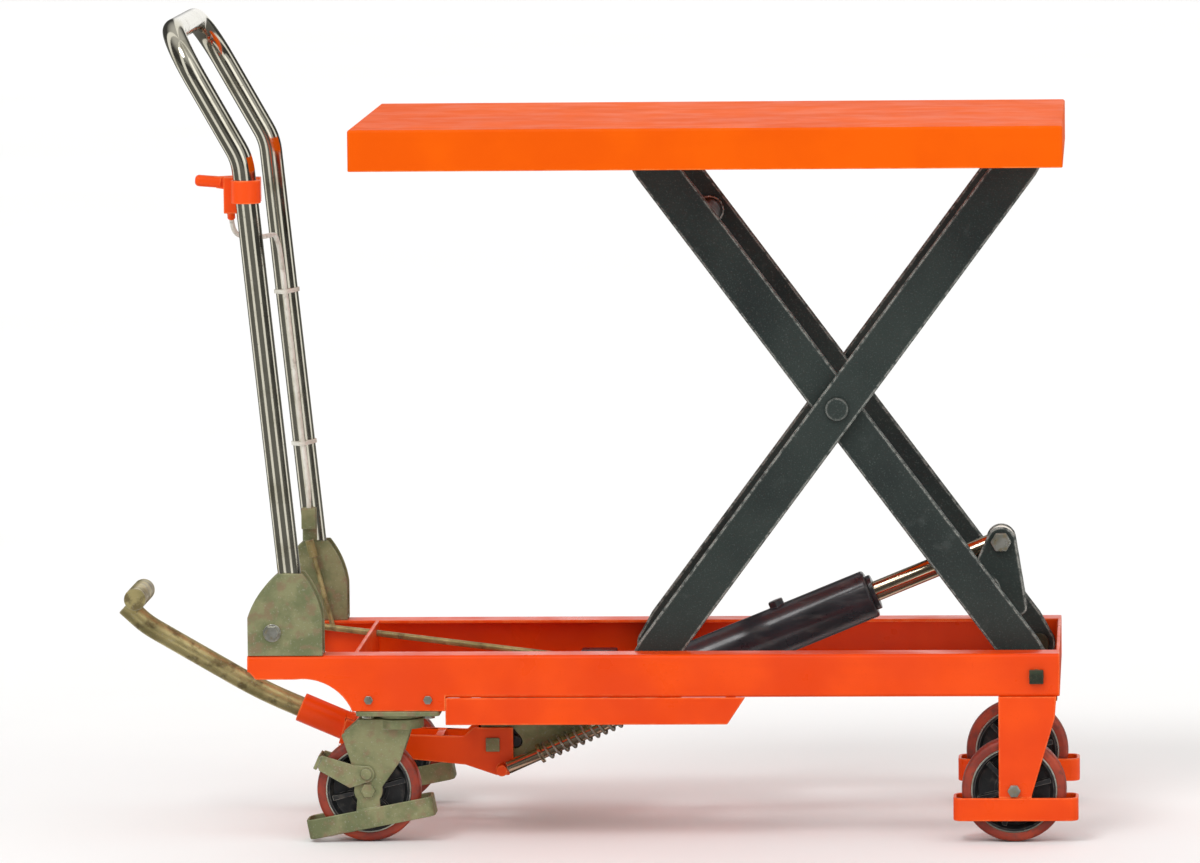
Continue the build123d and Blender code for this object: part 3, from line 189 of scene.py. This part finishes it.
class Look:
    """One procedural material and the few kinds of node that it is wired from."""

    def __init__(self, name, **even):
        self.material = bpy.data.materials.new(name)
        self.material.use_nodes = True
        self.tree = self.material.node_tree
        self.shader = self.tree.nodes["Principled BSDF"]
        self.place = self.tree.nodes.new("ShaderNodeTexCoord").outputs["Object"]
        for key, value in even.items():
            self.shader.inputs[key.replace("_", " ").title().replace("Ior", "IOR")].default_value = value

    def add(self, kind, links=(), values=(), **settings):
        """A new node, with its sockets linked or set and its other settings made."""
        node = self.tree.nodes.new(kind)
        for key, value in settings.items():
            setattr(node, key, value)
        for socket, value in dict(values).items():
            node.inputs[socket].default_value = value
        for socket, source in dict(links).items():
            self.tree.links.new(source, node.inputs[socket])
        return node

    def noise(self, scale, detail=4, stretch=(1, 1, 1), turn=(0, 0, 0), roughness=0.55):
        """Noise of this many features a metre, drawn out along an axis where stretch is below 1."""
        mapped = self.add("ShaderNodeMapping", {"Vector": self.place},
                          {"Scale": stretch, "Rotation": [math.radians(a) for a in turn]})
        return self.add("ShaderNodeTexNoise", {"Vector": mapped.outputs[0]},
                        {"Scale": scale, "Detail": detail, "Roughness": roughness}).outputs["Fac"]

    def span(self, value, low, high, to_low=0.0, to_high=1.0):
        """Eases from to_low, where the value is at low, to to_high, where it is at high."""
        node = self.add("ShaderNodeMapRange", {"Value": value},
                        {"From Min": low, "From Max": high, "To Min": to_low, "To Max": to_high},
                        interpolation_type="SMOOTHSTEP")
        return node.outputs[0]

    def times(self, first, second):
        node = self.add("ShaderNodeMath", {0: first}, operation="MULTIPLY")
        if isinstance(second, (int, float)):
            node.inputs[1].default_value = second
        else:
            self.tree.links.new(second, node.inputs[1])
        return node.outputs[0]

    def plus(self, first, second):
        return self.add("ShaderNodeMath", {0: first, 1: second}, operation="ADD", use_clamp=True).outputs[0]

    def mix(self, share, first, second):
        """The first colour where share is 0 and the second where it is 1."""
        node = self.add("ShaderNodeMix", {"Factor": share}, data_type="RGBA")
        for socket, colour in ((node.inputs[6], first), (node.inputs[7], second)):
            if isinstance(colour, tuple):
                socket.default_value = colour
            else:
                self.tree.links.new(colour, socket)
        return node.outputs[2]

    def edges(self, radius):
        """1 on hard edges and 0 on open faces."""
        rounded = self.add("ShaderNodeBevel", values={"Radius": radius}, samples=6).outputs[0]
        own = self.add("ShaderNodeNewGeometry").outputs["Normal"]
        facing = self.add("ShaderNodeVectorMath", {0: rounded, 1: own}, operation="DOT_PRODUCT")
        return self.span(facing.outputs["Value"], 0.999, 0.93, 0.0, 1.0)

    def finish(self, colour, roughness, heights):
        """Joins up the colour, the roughness and a stack of (height, depth in metres) bumps."""
        self.tree.links.new(colour, self.shader.inputs["Base Color"])
        self.tree.links.new(roughness, self.shader.inputs["Roughness"])
        normal = None
        for height, depth in heights:
            node = self.add("ShaderNodeBump", {"Height": height}, {"Distance": depth, "Strength": 1.0})
            if normal is not None:
                self.tree.links.new(normal, node.inputs["Normal"])
            normal = node.outputs[0]
        self.tree.links.new(normal, self.shader.inputs["Normal"])
        return self.material


def powder_coat(name, body, shade, edge_wear_and_highlight, gloss=(0.26, 0.4), specular=0.22):
    """Sprayed and baked paint: orange peel, slow drift of tone, rub marks, and thin worn edges lightened
    further by a painted highlight.
    """
    look = Look(name, specular_ior_level=specular)
    drift = look.span(look.noise(7, 3), 0.35, 0.65)
    colour = look.mix(drift, body, shade)
    drawn = look.span(look.noise(26, 5, stretch=(0.08, 1, 1)), 0.52, 0.7, 0, 0.35)
    colour = look.mix(drawn, colour, shade)
    specks = look.span(look.noise(420, 3), 0.62, 0.7, 0, 0.5)
    colour = look.mix(specks, colour, shade)
    # Hard edges are lightened: partly worn thin paint, partly a painted highlight along edges that catch the
    # light.
    edge_lightening = look.times(look.edges(0.003), look.span(look.noise(75, 5), 0.34, 0.62, 0.12, 0.75))
    colour = look.mix(edge_lightening, colour, edge_wear_and_highlight)
    roughness = look.plus(look.span(look.noise(18, 4), 0.3, 0.7, *gloss), look.times(drawn, 0.2))
    return look.finish(colour, roughness, ((look.noise(620, 2), 0.00003), (look.noise(60, 2), 0.00012)))


def textured_coat(name, wear=1.0):
    """Charcoal powder coat with a fine sandy grain and pale edges, part wear and part painted highlight."""
    look = Look(name, specular_ior_level=0.3)
    drift = look.span(look.noise(5, 3), 0.35, 0.65)
    colour = look.mix(drift, tint(46, 55, 52), tint(34, 42, 41))
    grit = look.noise(520, 3, roughness=0.7)
    colour = look.mix(look.span(grit, 0.55, 0.72, 0, 0.55), colour, tint(88, 98, 94))
    colour = look.mix(look.span(look.noise(38, 6), 0.6, 0.75, 0, 0.4), colour, tint(70, 76, 74))
    # Hard edges turn pale: partly worn coat, partly a painted highlight along edges that catch the light.
    edge_lightening = look.times(look.edges(0.0045), look.span(look.noise(150, 4), 0.36, 0.56, 0.15 * wear, wear))
    colour = look.mix(edge_lightening, colour, tint(205, 206, 198))
    roughness = look.span(look.noise(30, 4), 0.3, 0.7, 0.42, 0.62)
    return look.finish(colour, roughness, ((grit, 0.00016), (look.noise(60, 3), 0.0001)))


def plated(name, first, second, third, gloss=(0.3, 0.5), metallic=0.8, scale=30.0, wear=tint(196, 196, 184)):
    """Zinc plating: cloudy passivation tints, fine spangle and brighter edges."""
    look = Look(name, metallic=metallic)
    cloud = look.span(look.noise(scale, 5), 0.38, 0.62)
    colour = look.mix(cloud, first, second)
    colour = look.mix(look.span(look.noise(scale * 2.6, 4), 0.5, 0.68, 0, 0.75), colour, third)
    spangle = look.noise(scale * 14, 2)
    colour = look.mix(look.span(spangle, 0.6, 0.72, 0, 0.35), colour, wear)
    edge_lightening = look.times(look.edges(0.0012), look.span(look.noise(70, 4), 0.3, 0.6, 0.2, 0.8))
    colour = look.mix(edge_lightening, colour, wear)
    roughness = look.plus(look.span(look.noise(scale * 1.7, 4), 0.3, 0.7, *gloss), look.times(cloud, 0.08))
    return look.finish(colour, roughness, ((spangle, 0.00003), (look.noise(140, 3), 0.00008)))


def polished(name, bright, dull, gloss=(0.05, 0.16), lines=(1, 1, 1), turn=(0, 0, 0)):
    """Polished plating with smudges, faint grinding lines and a few dull spots."""
    look = Look(name, metallic=1.0)
    smudge = look.span(look.noise(24, 5), 0.5, 0.75, 0, 0.6)
    colour = look.mix(smudge, bright, dull)
    pits = look.span(look.noise(380, 2), 0.7, 0.76, 0, 0.7)
    colour = look.mix(pits, colour, tint(96, 84, 66))
    roughness = look.plus(look.span(look.noise(40, 5), 0.35, 0.7, *gloss), look.times(smudge, 0.1))
    ground = look.noise(900, 2, stretch=lines, turn=turn)
    return look.finish(colour, roughness, ((ground, 0.000012), (pits, 0.00004)))


def polyurethane():
    """Cast wheel tread: translucent red-brown, scuffed where it runs and dusty in the pores."""
    look = Look("wheel_tread", subsurface_weight=0.08, subsurface_scale=0.002)
    colour = look.mix(look.span(look.noise(16, 4), 0.35, 0.65), tint(168, 62, 34), tint(128, 44, 30))
    scuff = look.span(look.noise(130, 6), 0.5, 0.66, 0, 0.55)
    colour = look.mix(scuff, colour, tint(96, 52, 44))
    edge_lightening = look.times(look.edges(0.002), look.span(look.noise(50, 4), 0.35, 0.6))
    colour = look.mix(edge_lightening, colour, tint(214, 110, 60))
    roughness = look.plus(look.span(look.noise(45, 4), 0.3, 0.7, 0.3, 0.48), look.times(scuff, 0.25))
    return look.finish(colour, roughness, ((look.noise(520, 4), 0.00006), (scuff, 0.0001)))


def cast_hub():
    """Dark stove-enamelled casting with a pebbled skin."""
    look = Look("wheel_hub", metallic=0.25)
    colour = look.mix(look.span(look.noise(22, 4), 0.35, 0.65), tint(46, 44, 46), tint(30, 34, 36))
    dust = look.span(look.noise(90, 5), 0.52, 0.7, 0, 0.5)
    colour = look.mix(dust, colour, tint(92, 84, 76))
    edge_lightening = look.times(look.edges(0.0012), look.span(look.noise(80, 4), 0.35, 0.6, 0, 0.7))
    colour = look.mix(edge_lightening, colour, tint(150, 146, 138))
    roughness = look.plus(look.span(look.noise(60, 3), 0.3, 0.7, 0.38, 0.55), look.times(dust, 0.2))
    return look.finish(colour, roughness, ((look.noise(430, 3), 0.00015), (dust, 0.00005)))


def enamel():
    """Gloss black cylinder enamel with dust, runs and rubbed edges."""
    look = Look("cylinder_paint", coat_weight=0.3, coat_roughness=0.12)
    colour = look.mix(look.span(look.noise(12, 4), 0.35, 0.65), tint(30, 30, 34), tint(44, 42, 48))
    dust = look.span(look.noise(70, 6, turn=(0, -22, 0), stretch=(0.3, 1, 1)), 0.52, 0.72, 0, 0.6)
    colour = look.mix(dust, colour, tint(84, 80, 78))
    edge_lightening = look.times(look.edges(0.0014), look.span(look.noise(60, 4), 0.35, 0.6, 0, 0.8))
    colour = look.mix(edge_lightening, colour, tint(140, 138, 132))
    roughness = look.plus(look.span(look.noise(34, 4), 0.3, 0.7, 0.24, 0.4), look.times(dust, 0.3))
    return look.finish(colour, roughness, ((look.noise(500, 2), 0.00004), (look.noise(45, 2), 0.00014)))


def sheath():
    """Pale extruded plastic, slightly yellowed and handled."""
    look = Look("cable_sheath")
    colour = look.mix(look.span(look.noise(40, 4), 0.35, 0.65), tint(228, 226, 216), tint(204, 200, 186))
    grime = look.span(look.noise(160, 5), 0.55, 0.72, 0, 0.5)
    colour = look.mix(grime, colour, tint(150, 144, 130))
    roughness = look.span(look.noise(90, 3), 0.3, 0.7, 0.32, 0.5)
    return look.finish(colour, roughness, ((look.noise(900, 2), 0.00003), (grime, 0.00003)))


def floor_paint():
    """A plain pale studio floor, which polished metal sees as the same streaks as the surround."""
    look = Look("studio_floor")
    colour = look.mix(look.span(look.noise(0.8, 3), 0.35, 0.65), (0.93, 0.93, 0.925, 1), (0.9, 0.9, 0.9, 1))
    split = look.add("ShaderNodeSeparateXYZ", {0: look.place})
    mirrored = look.mix(streaks(look.tree, split.outputs["X"], split.outputs["Y"]), (0.05, 0.05, 0.045, 1),
                        (0.93, 0.93, 0.92, 1))
    colour = look.mix(look.add("ShaderNodeLightPath").outputs["Is Glossy Ray"], colour, mirrored)
    roughness = look.span(look.noise(3, 3), 0.3, 0.7, 0.75, 0.85)
    return look.finish(colour, roughness, ((look.noise(60, 2), 0.00005),))


# The third colour of each powder coat is its edge colour: worn paint and a painted highlight together.
LOOKS = {
    "platform_paint": powder_coat("platform_paint", tint(239, 95, 4), tint(232, 88, 4), tint(255, 158, 84),
                                  (0.42, 0.56), specular=0.04),
    "frame_paint": powder_coat("frame_paint", tint(241, 78, 6), tint(226, 66, 5), tint(255, 150, 84)),
    "arm_paint": textured_coat("arm_paint"),
    "pin_paint": textured_coat("pin_paint", 0.3),
    "zinc_plate": plated("zinc_plate", tint(152, 152, 112), tint(124, 130, 92), tint(150, 128, 100),
                         (0.4, 0.62), 0.45),
    "bright_steel": plated("bright_steel", tint(198, 198, 190), tint(168, 168, 156), tint(180, 166, 132),
                           (0.22, 0.4), 0.9, 60.0),
    "dark_bolt": plated("dark_bolt", tint(74, 84, 66), tint(56, 62, 52), tint(90, 84, 64),
                        (0.35, 0.5), 0.7, 60.0, tint(130, 130, 118)),
    "roller_steel": plated("roller_steel", tint(120, 118, 112), tint(92, 90, 88), tint(74, 66, 56),
                           (0.28, 0.45), 0.95, 50.0),
    "handle_chrome": polished("handle_chrome", tint(206, 202, 186), tint(146, 140, 116)),
    "rod_chrome": polished("rod_chrome", tint(214, 196, 168), tint(168, 146, 116), (0.1, 0.2),
                           (1, 0.05, 0.05), (0, 22, 0)),
    "cylinder_paint": enamel(),
    "pedal_zinc": plated("pedal_zinc", tint(196, 182, 128), tint(160, 148, 100), tint(112, 98, 66),
                         (0.3, 0.46), 0.7, 26.0),
    "wheel_tread": polyurethane(),
    "wheel_hub": cast_hub(),
    "cable_sheath": sheath(),
}


# ---- Making pieces ----
HARD_ANGLE = math.radians(30)
FLAT_ANGLE = math.radians(0.4)
SAME_POINT = 1e-6


def piece_of(name, shape, look, body, smooth=38, replaces=()):
    """Turns a bmesh into a piece with its material and body, and hides the CAD nodes that it stands for."""
    bmesh.ops.recalc_face_normals(shape, faces=shape.faces)
    mesh = bpy.data.meshes.new(name)
    shape.to_mesh(mesh)
    shape.free()
    mesh.shade_smooth()
    mesh.set_sharp_from_angle(angle=math.radians(smooth))
    mesh.materials.append(LOOKS[look])
    piece = bpy.data.objects.new(name, mesh)
    bpy.context.scene.collection.objects.link(piece)
    weighted = piece.modifiers.new("flat_faces", "WEIGHTED_NORMAL")
    weighted.keep_sharp = True
    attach(piece, body)
    if replaces:
        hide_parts(*replaces)
    return piece


def rounded(name, width, wide=None, skip=None):
    """A copy of a CAD node with its hard edges rounded over; wide is (test, width) for larger bends."""
    shape = bmesh.new()
    shape.from_mesh(nodes[name].data)
    bmesh.ops.remove_doubles(shape, verts=shape.verts, dist=SAME_POINT)
    bmesh.ops.dissolve_limit(shape, angle_limit=FLAT_ANGLE, verts=shape.verts, edges=shape.edges)
    passes = [(None, width, 2)]
    if wide:
        passes.insert(0, (*wide, 4))
    for test, offset, segments in passes:
        hard = [edge for edge in shape.edges if edge.is_manifold and edge.calc_face_angle() > HARD_ANGLE]
        middles = {edge: (edge.verts[0].co + edge.verts[1].co) / 2 for edge in hard}
        hard = [edge for edge in hard if (test is None or test(middles[edge]))
                and (skip is None or not skip(middles[edge]))]
        bmesh.ops.bevel(shape, geom=hard, offset=offset, offset_type="OFFSET", segments=segments,
                        profile=0.5, affect="EDGES", clamp_overlap=False)
    slot = slot_of[name]
    return piece_of(f"{name}_shape", shape, slot, nodes[name]["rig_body"], replaces=(name,))


def lathe(shape, centre, profile, steps=96):
    """Adds a closed (radius, y) profile, in millimetres, turned about the Y line through centre."""
    rings = []
    for step in range(steps):
        angle = 2 * math.pi * step / steps
        rings.append([shape.verts.new(centre + Vector((radius * MM * math.cos(angle), y * MM,
                                                       radius * MM * math.sin(angle))))
                      for radius, y in profile])
    for step in range(steps):
        here, after = rings[step], rings[(step + 1) % steps]
        for i in range(len(profile)):
            j = (i + 1) % len(profile)
            shape.faces.new((here[i], here[j], after[j], after[i]))


def arc(radius, y, size, start, end, steps=5):
    """Profile points on a quarter-round at (radius, y), from start to end degrees."""
    return [(radius + size * math.sin(math.radians(start + (end - start) * i / steps)),
             y + size * math.cos(math.radians(start + (end - start) * i / steps))) for i in range(steps + 1)]


def weld_ring(name, centre, radius, bead, body, side):
    """A rippled weld bead round a tube that stands on a plate, the tube running along Y."""
    shape = bmesh.new()
    steps, around = 120, 8
    ripples, drifts, squat = 20, 7, 0.8
    rings = []
    for step in range(steps):
        angle = 2 * math.pi * step / steps
        size = bead * (0.85 + 0.15 * math.cos(angle * ripples) + 0.05 * math.sin(angle * drifts))
        out = Vector((math.cos(angle), 0, math.sin(angle)))
        ring = []
        for turn in range(around):
            around_angle = 2 * math.pi * turn / around
            ring.append(shape.verts.new(centre + out * (radius + size * math.cos(around_angle) * squat)
                                        + Vector((0, side * size * math.sin(around_angle) * squat, 0))))
        rings.append(ring)
    for step in range(steps):
        here, after = rings[step], rings[(step + 1) % steps]
        for i in range(around):
            j = (i + 1) % around
            shape.faces.new((here[i], here[j], after[j], after[i]))
    return piece_of(name, shape, "arm_paint", body, smooth=80)


# ---- Wheels ----
def wheel(prefix):
    """A crowned polyurethane tread on a ribbed, dished hub with a bright rim lip and a shielded bearing."""
    low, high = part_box(f"{prefix}_tread")
    centre = (low + high) / 2
    outer = (high.z - low.z) / 2 / MM
    half = (high.y - low.y) / 2 / MM
    body = nodes[f"{prefix}_tread"]["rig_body"]
    tread = bmesh.new()
    shoulder = 4.5
    rolled = outer - shoulder - 0.8
    crown = [(outer - 0.5, -half * 0.62), (outer - 0.1, -half * 0.3), (outer, 0), (outer - 0.1, half * 0.3),
             (outer - 0.5, half * 0.62)]
    profile = ([(51.8, -half + 1), (53.2, -half), (outer - shoulder - 1.2, -half)]
               + arc(rolled, -half + shoulder, shoulder, 180, 90) + crown
               + arc(rolled, half - shoulder, shoulder, 90, 0)
               + [(outer - shoulder - 1.2, half), (53.2, half), (51.8, half - 1)])
    lathe(tread, centre, profile, steps=128)
    piece_of(f"{prefix}_tread_shape", tread, "wheel_tread", body, smooth=50,
             replaces=(f"{prefix}_tread",))
    hub = bmesh.new()
    lathe(hub, centre, [(51.9, -half + 0.6), (51.9, half - 0.6), (50.6, half + 0.2), (47.6, half - 0.4),
                        (45.2, half - 5), (43.2, 6.5), (40.0, 4.6), (24.0, 4.2), (20.4, 6.4),
                        (18.8, half - 1.2), (17.6, half + 0.2), (14.6, half + 0.2), (14.6, -half - 0.2),
                        (17.6, -half - 0.2), (18.8, -half + 1.2), (20.4, -6.4), (24.0, -4.2), (40.0, -4.6),
                        (43.2, -6.5), (45.2, -half + 5), (47.6, -half + 0.4), (50.6, -half - 0.2)])
    ribs, first_rib = 6, 14
    for rib in range(ribs):
        angle = math.radians(360 / ribs * rib + first_rib)
        out = Vector((math.cos(angle), 0, math.sin(angle)))
        across = Vector((-math.sin(angle), 0, math.cos(angle)))
        for side in (-1, 1):
            corners = []
            for reach, height, thick in ((17.5, half - 2.0, 2.3), (45.6, half - 5.0, 2.9), (45.6, 2.0, 3.8),
                                         (17.5, 2.0, 3.4)):
                corners.append([hub.verts.new(centre + (out * reach + across * edge * thick
                                                        + Vector((0, side * height, 0))) * MM)
                                for edge in (-1, 1)])
            near, far = [pair[0] for pair in corners], [pair[1] for pair in corners]
            hub.faces.new(near)
            hub.faces.new(far[::-1])
            for i in range(4):
                j = (i + 1) % 4
                hub.faces.new((near[i], far[i], far[j], near[j]))
    piece_of(f"{prefix}_hub_shape", hub, "wheel_hub", body, smooth=32,
             replaces=(f"{prefix}_hub",))
    trim = bmesh.new()
    for side in (-1, 1):
        rim = [(51.2, side * (half - 0.1)), (51.9, side * (half + 0.15)), (51.2, side * (half + 0.45)),
               (50.3, side * (half + 0.35)), (50.3, side * (half - 0.1))]
        shield = [(14.7, side * (half - 1.5)), (14.7, side * (half - 0.4)), (12.2, side * (half - 0.2)),
                  (11.9, side * (half - 0.8)), (8.6, side * (half - 0.9)), (8.2, side * (half - 0.1)),
                  (6.2, side * (half - 0.1)), (6.2, side * (half - 2.4)), (14.0, side * (half - 2.4))]
        lathe(trim, centre, rim, steps=128)
        lathe(trim, centre, shield, steps=64)
    piece_of(f"{prefix}_trim", trim, "bright_steel", body, smooth=40)


for wheel_name in ("rear_wheel_right", "rear_wheel_left", "caster_wheel_right", "caster_wheel_left"):
    wheel(wheel_name)

# ---- Plates, channels, arms and fittings: the CAD shapes with rolled and dressed edges ----
pan_low, pan_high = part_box("platform_pan")


def pan_bend(point):
    """The pan's outer bends: round its top and down its four corners."""
    on_end = point.x < pan_low.x + MM or point.x > pan_high.x - MM
    on_side = abs(point.y) > pan_high.y - MM
    return ((on_end or on_side) and point.z > pan_high.z - MM) or (on_end and on_side)


def tray_joint(point):
    """Where the rail's deep web runs out into its rolled corner, edges are too short to round."""
    web_end, near_by, lowest, highest = BASE_X - 0.716, 0.006, 0.172, 0.186
    return abs(point.x - web_end) < near_by and lowest < point.z < highest


rounded("platform_pan", 0.0009, wide=(pan_bend, 0.0034))
for side_name in ("right", "left"):
    rounded(f"base_rail_{side_name}", 0.0011, skip=tray_joint)
    rounded(f"rear_fork_{side_name}", 0.0013)
    rounded(f"caster_plate_{side_name}", 0.0011)
    rounded(f"caster_fork_{side_name}", 0.0013)
    rounded(f"brake_pedal_{side_name}", 0.0008)
    rounded(f"inner_arm_{side_name}", 0.0022)
    rounded(f"outer_arm_{side_name}", 0.0022)
    rounded(f"base_roller_{side_name}", 0.0012)
    rounded(f"table_roller_{side_name}", 0.0012)
    rounded(f"handle_bracket_{side_name}", 0.0011)
fittings = {}
for plain_name, edge_width in (
        ("crossmembers", 0.0012), ("pump_tray", 0.0012), ("platform_underframe", 0.0010),
        ("inner_tie_tubes", 0.0006), ("outer_tie_tube", 0.0006), ("lift_bracket", 0.0014),
        ("caster_bolts", 0.0007), ("rear_axle_bolts", 0.0006), ("lift_pin", 0.0009), ("centre_pins", 0.0012),
        ("table_roller_pins", 0.0010), ("base_roller_pins", 0.0010), ("platform_pivot_pins", 0.0010),
        ("ram_cylinder", 0.0014), ("gland_nut", 0.0010), ("piston_rod", 0.0008), ("pump_block", 0.0010),
        ("release_valve", 0.0012), ("pump_plunger", 0.0008), ("pedal_lever", 0.0011),
        ("release_bracket", 0.0010), ("release_lever", 0.0007), ("pull_rod", 0.0006),
        ("release_crank", 0.0007), ("cable_ties", 0.0004)):
    fittings[plain_name] = rounded(plain_name, edge_width)
fittings["centre_pins"].data.materials[0] = LOOKS["pin_paint"]
# The bolts at the fixed base pivot's end are dark; the others keep their node's own finish.
bolts = rounded("frame_bolts", 0.0009)
bolts.data.materials.append(LOOKS["dark_bolt"])
DARK_BEYOND_X = BASE_X - 0.1
for face in bolts.data.polygons:
    face.material_index = int(face.center.x > DARK_BEYOND_X)
for kept_name in ("handle_tube", "pedal_bar", "valve_rod"):
    kept = nodes[kept_name]
    kept.data.materials.clear()
    kept.data.materials.append(LOOKS[slot_of[kept_name]])

TIE_RADIUS, TIE_BEAD, ARM_FACE_Y = 0.016, 0.0028, 0.1276
pivot = Vector(joints["lift"]["pos_m"])
arm_axis = (Vector(joints["scissor_centre"]["pos_m"]) - pivot).normalized()
for place_name, reach in (("lower", 0.105), ("upper", 0.675)):
    for side_name, side in (("right", -1), ("left", 1)):
        middle = pivot + arm_axis * reach + Vector((0, side * ARM_FACE_Y, 0))
        weld_ring(f"tie_weld_{place_name}_{side_name}", middle, TIE_RADIUS, TIE_BEAD, "inner_arms", -side)

# ---- Floor ----
FLOOR_REACH = 90
ground = bpy.data.meshes.new("studio_floor")
ground.from_pydata([(-FLOOR_REACH, -FLOOR_REACH, 0), (FLOOR_REACH, -FLOOR_REACH, 0),
                    (FLOOR_REACH, FLOOR_REACH, 0), (-FLOOR_REACH, FLOOR_REACH, 0)], [], [(0, 1, 2, 3)])
ground.materials.append(floor_paint())
floor = bpy.data.objects.new("studio_floor", ground)
bpy.context.scene.collection.objects.link(floor)


# ---- Release cable ----
def tube_x(z):
    """X of the handle tube's centre line at a height, below its bend."""
    foot_x, foot_z, bend_x, bend_z = -893.8, 240.0, -953.0, 831.0
    return foot_x + (bend_x - foot_x) / (bend_z - foot_z) * (z - foot_z)


def out_of_ferrule(distance):
    """A point this far out of the ferrule, which points the cable down and inwards."""
    return (-970, -154.5 + 0.6 * distance, 769 - 0.8 * distance)


exit_point = Vector(out_of_ferrule(14))
route = [tuple(exit_point), out_of_ferrule(36), (-961, -92, 730), (-950, -40, 726), (-944, 10, 723),
         (-940, 64, 721), (-941, 112, 716), (tube_x(690), 149, 694), (tube_x(655), 158, 655),
         (tube_x(600), 159, 600), (tube_x(520) + 0.5, 158.4, 520), (tube_x(450), 158, 450),
         (-907.4, 153.5, 402), (-908, 152, 372)]
line = bpy.data.curves.new("release_cable_shape", "CURVE")
line.dimensions = "3D"
line.bevel_depth = 0.003  # half the cable's diameter
line.bevel_resolution = 6
line.resolution_u = 16
spline = line.splines.new("NURBS")
spline.points.add(len(route) - 1)
for control, (x, y, z) in zip(spline.points, route):
    control.co = (*at(x, y, z), 1)
spline.order_u = 3
spline.use_endpoint_u = True
line.materials.append(LOOKS["cable_sheath"])
cable = bpy.data.objects.new("release_cable_shape", line)
bpy.context.scene.collection.objects.link(cable)
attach(cable, "chassis")
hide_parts("release_cable")

# ---- Plunger return spring: a helix that rides on its plunger ----
STROKE = joints["plunger_stroke"]
spring_axis = Vector(STROKE["axis"]).normalized()
spring_nose = at(-656, -51.5, 70)
SPRING_RADIUS, SPRING_WIRE, SPRING_TURNS = 11.0, 1.6, 11  # to the wire's middle, the wire's own radius
SPRING_START, SPRING_END = 56.2, 169.3  # along the plunger from its nose, in millimetres


def helix(shape, steps_per_turn=28, around=10):
    """Adds the wire along its helix, with closed ends, in rings square to the wire."""
    aside = Vector((0, 1, 0))
    above = spring_axis.cross(aside)
    length = (SPRING_END - SPRING_START) * MM
    pitch = length / SPRING_TURNS / (2 * math.pi * SPRING_RADIUS * MM)
    count = steps_per_turn * SPRING_TURNS
    rings = []
    for step in range(count + 1):
        angle = 2 * math.pi * step / steps_per_turn
        out = aside * math.cos(angle) + above * math.sin(angle)
        middle = (spring_nose + spring_axis * (SPRING_START * MM + length * step / count)
                  + out * (SPRING_RADIUS * MM))
        along = (above * math.cos(angle) - aside * math.sin(angle) + spring_axis * pitch).normalized()
        beside = along.cross(out)
        ring = []
        for i in range(around):
            turn = 2 * math.pi * i / around
            spoke = out * math.cos(turn) + beside * math.sin(turn)
            ring.append(shape.verts.new(middle + spoke * (SPRING_WIRE * MM)))
        rings.append(ring)
    for here, after in zip(rings, rings[1:]):
        for i in range(around):
            j = (i + 1) % around
            shape.faces.new((here[i], here[j], after[j], after[i]))
    shape.faces.new(rings[0])
    shape.faces.new(rings[-1][::-1])


coils = bmesh.new()
helix(coils)
spring = piece_of("plunger_spring_shape", coils, "bright_steel", "pump_plunger", smooth=60,
                  replaces=("plunger_spring",))
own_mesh(spring)

make_camera()
make_light()
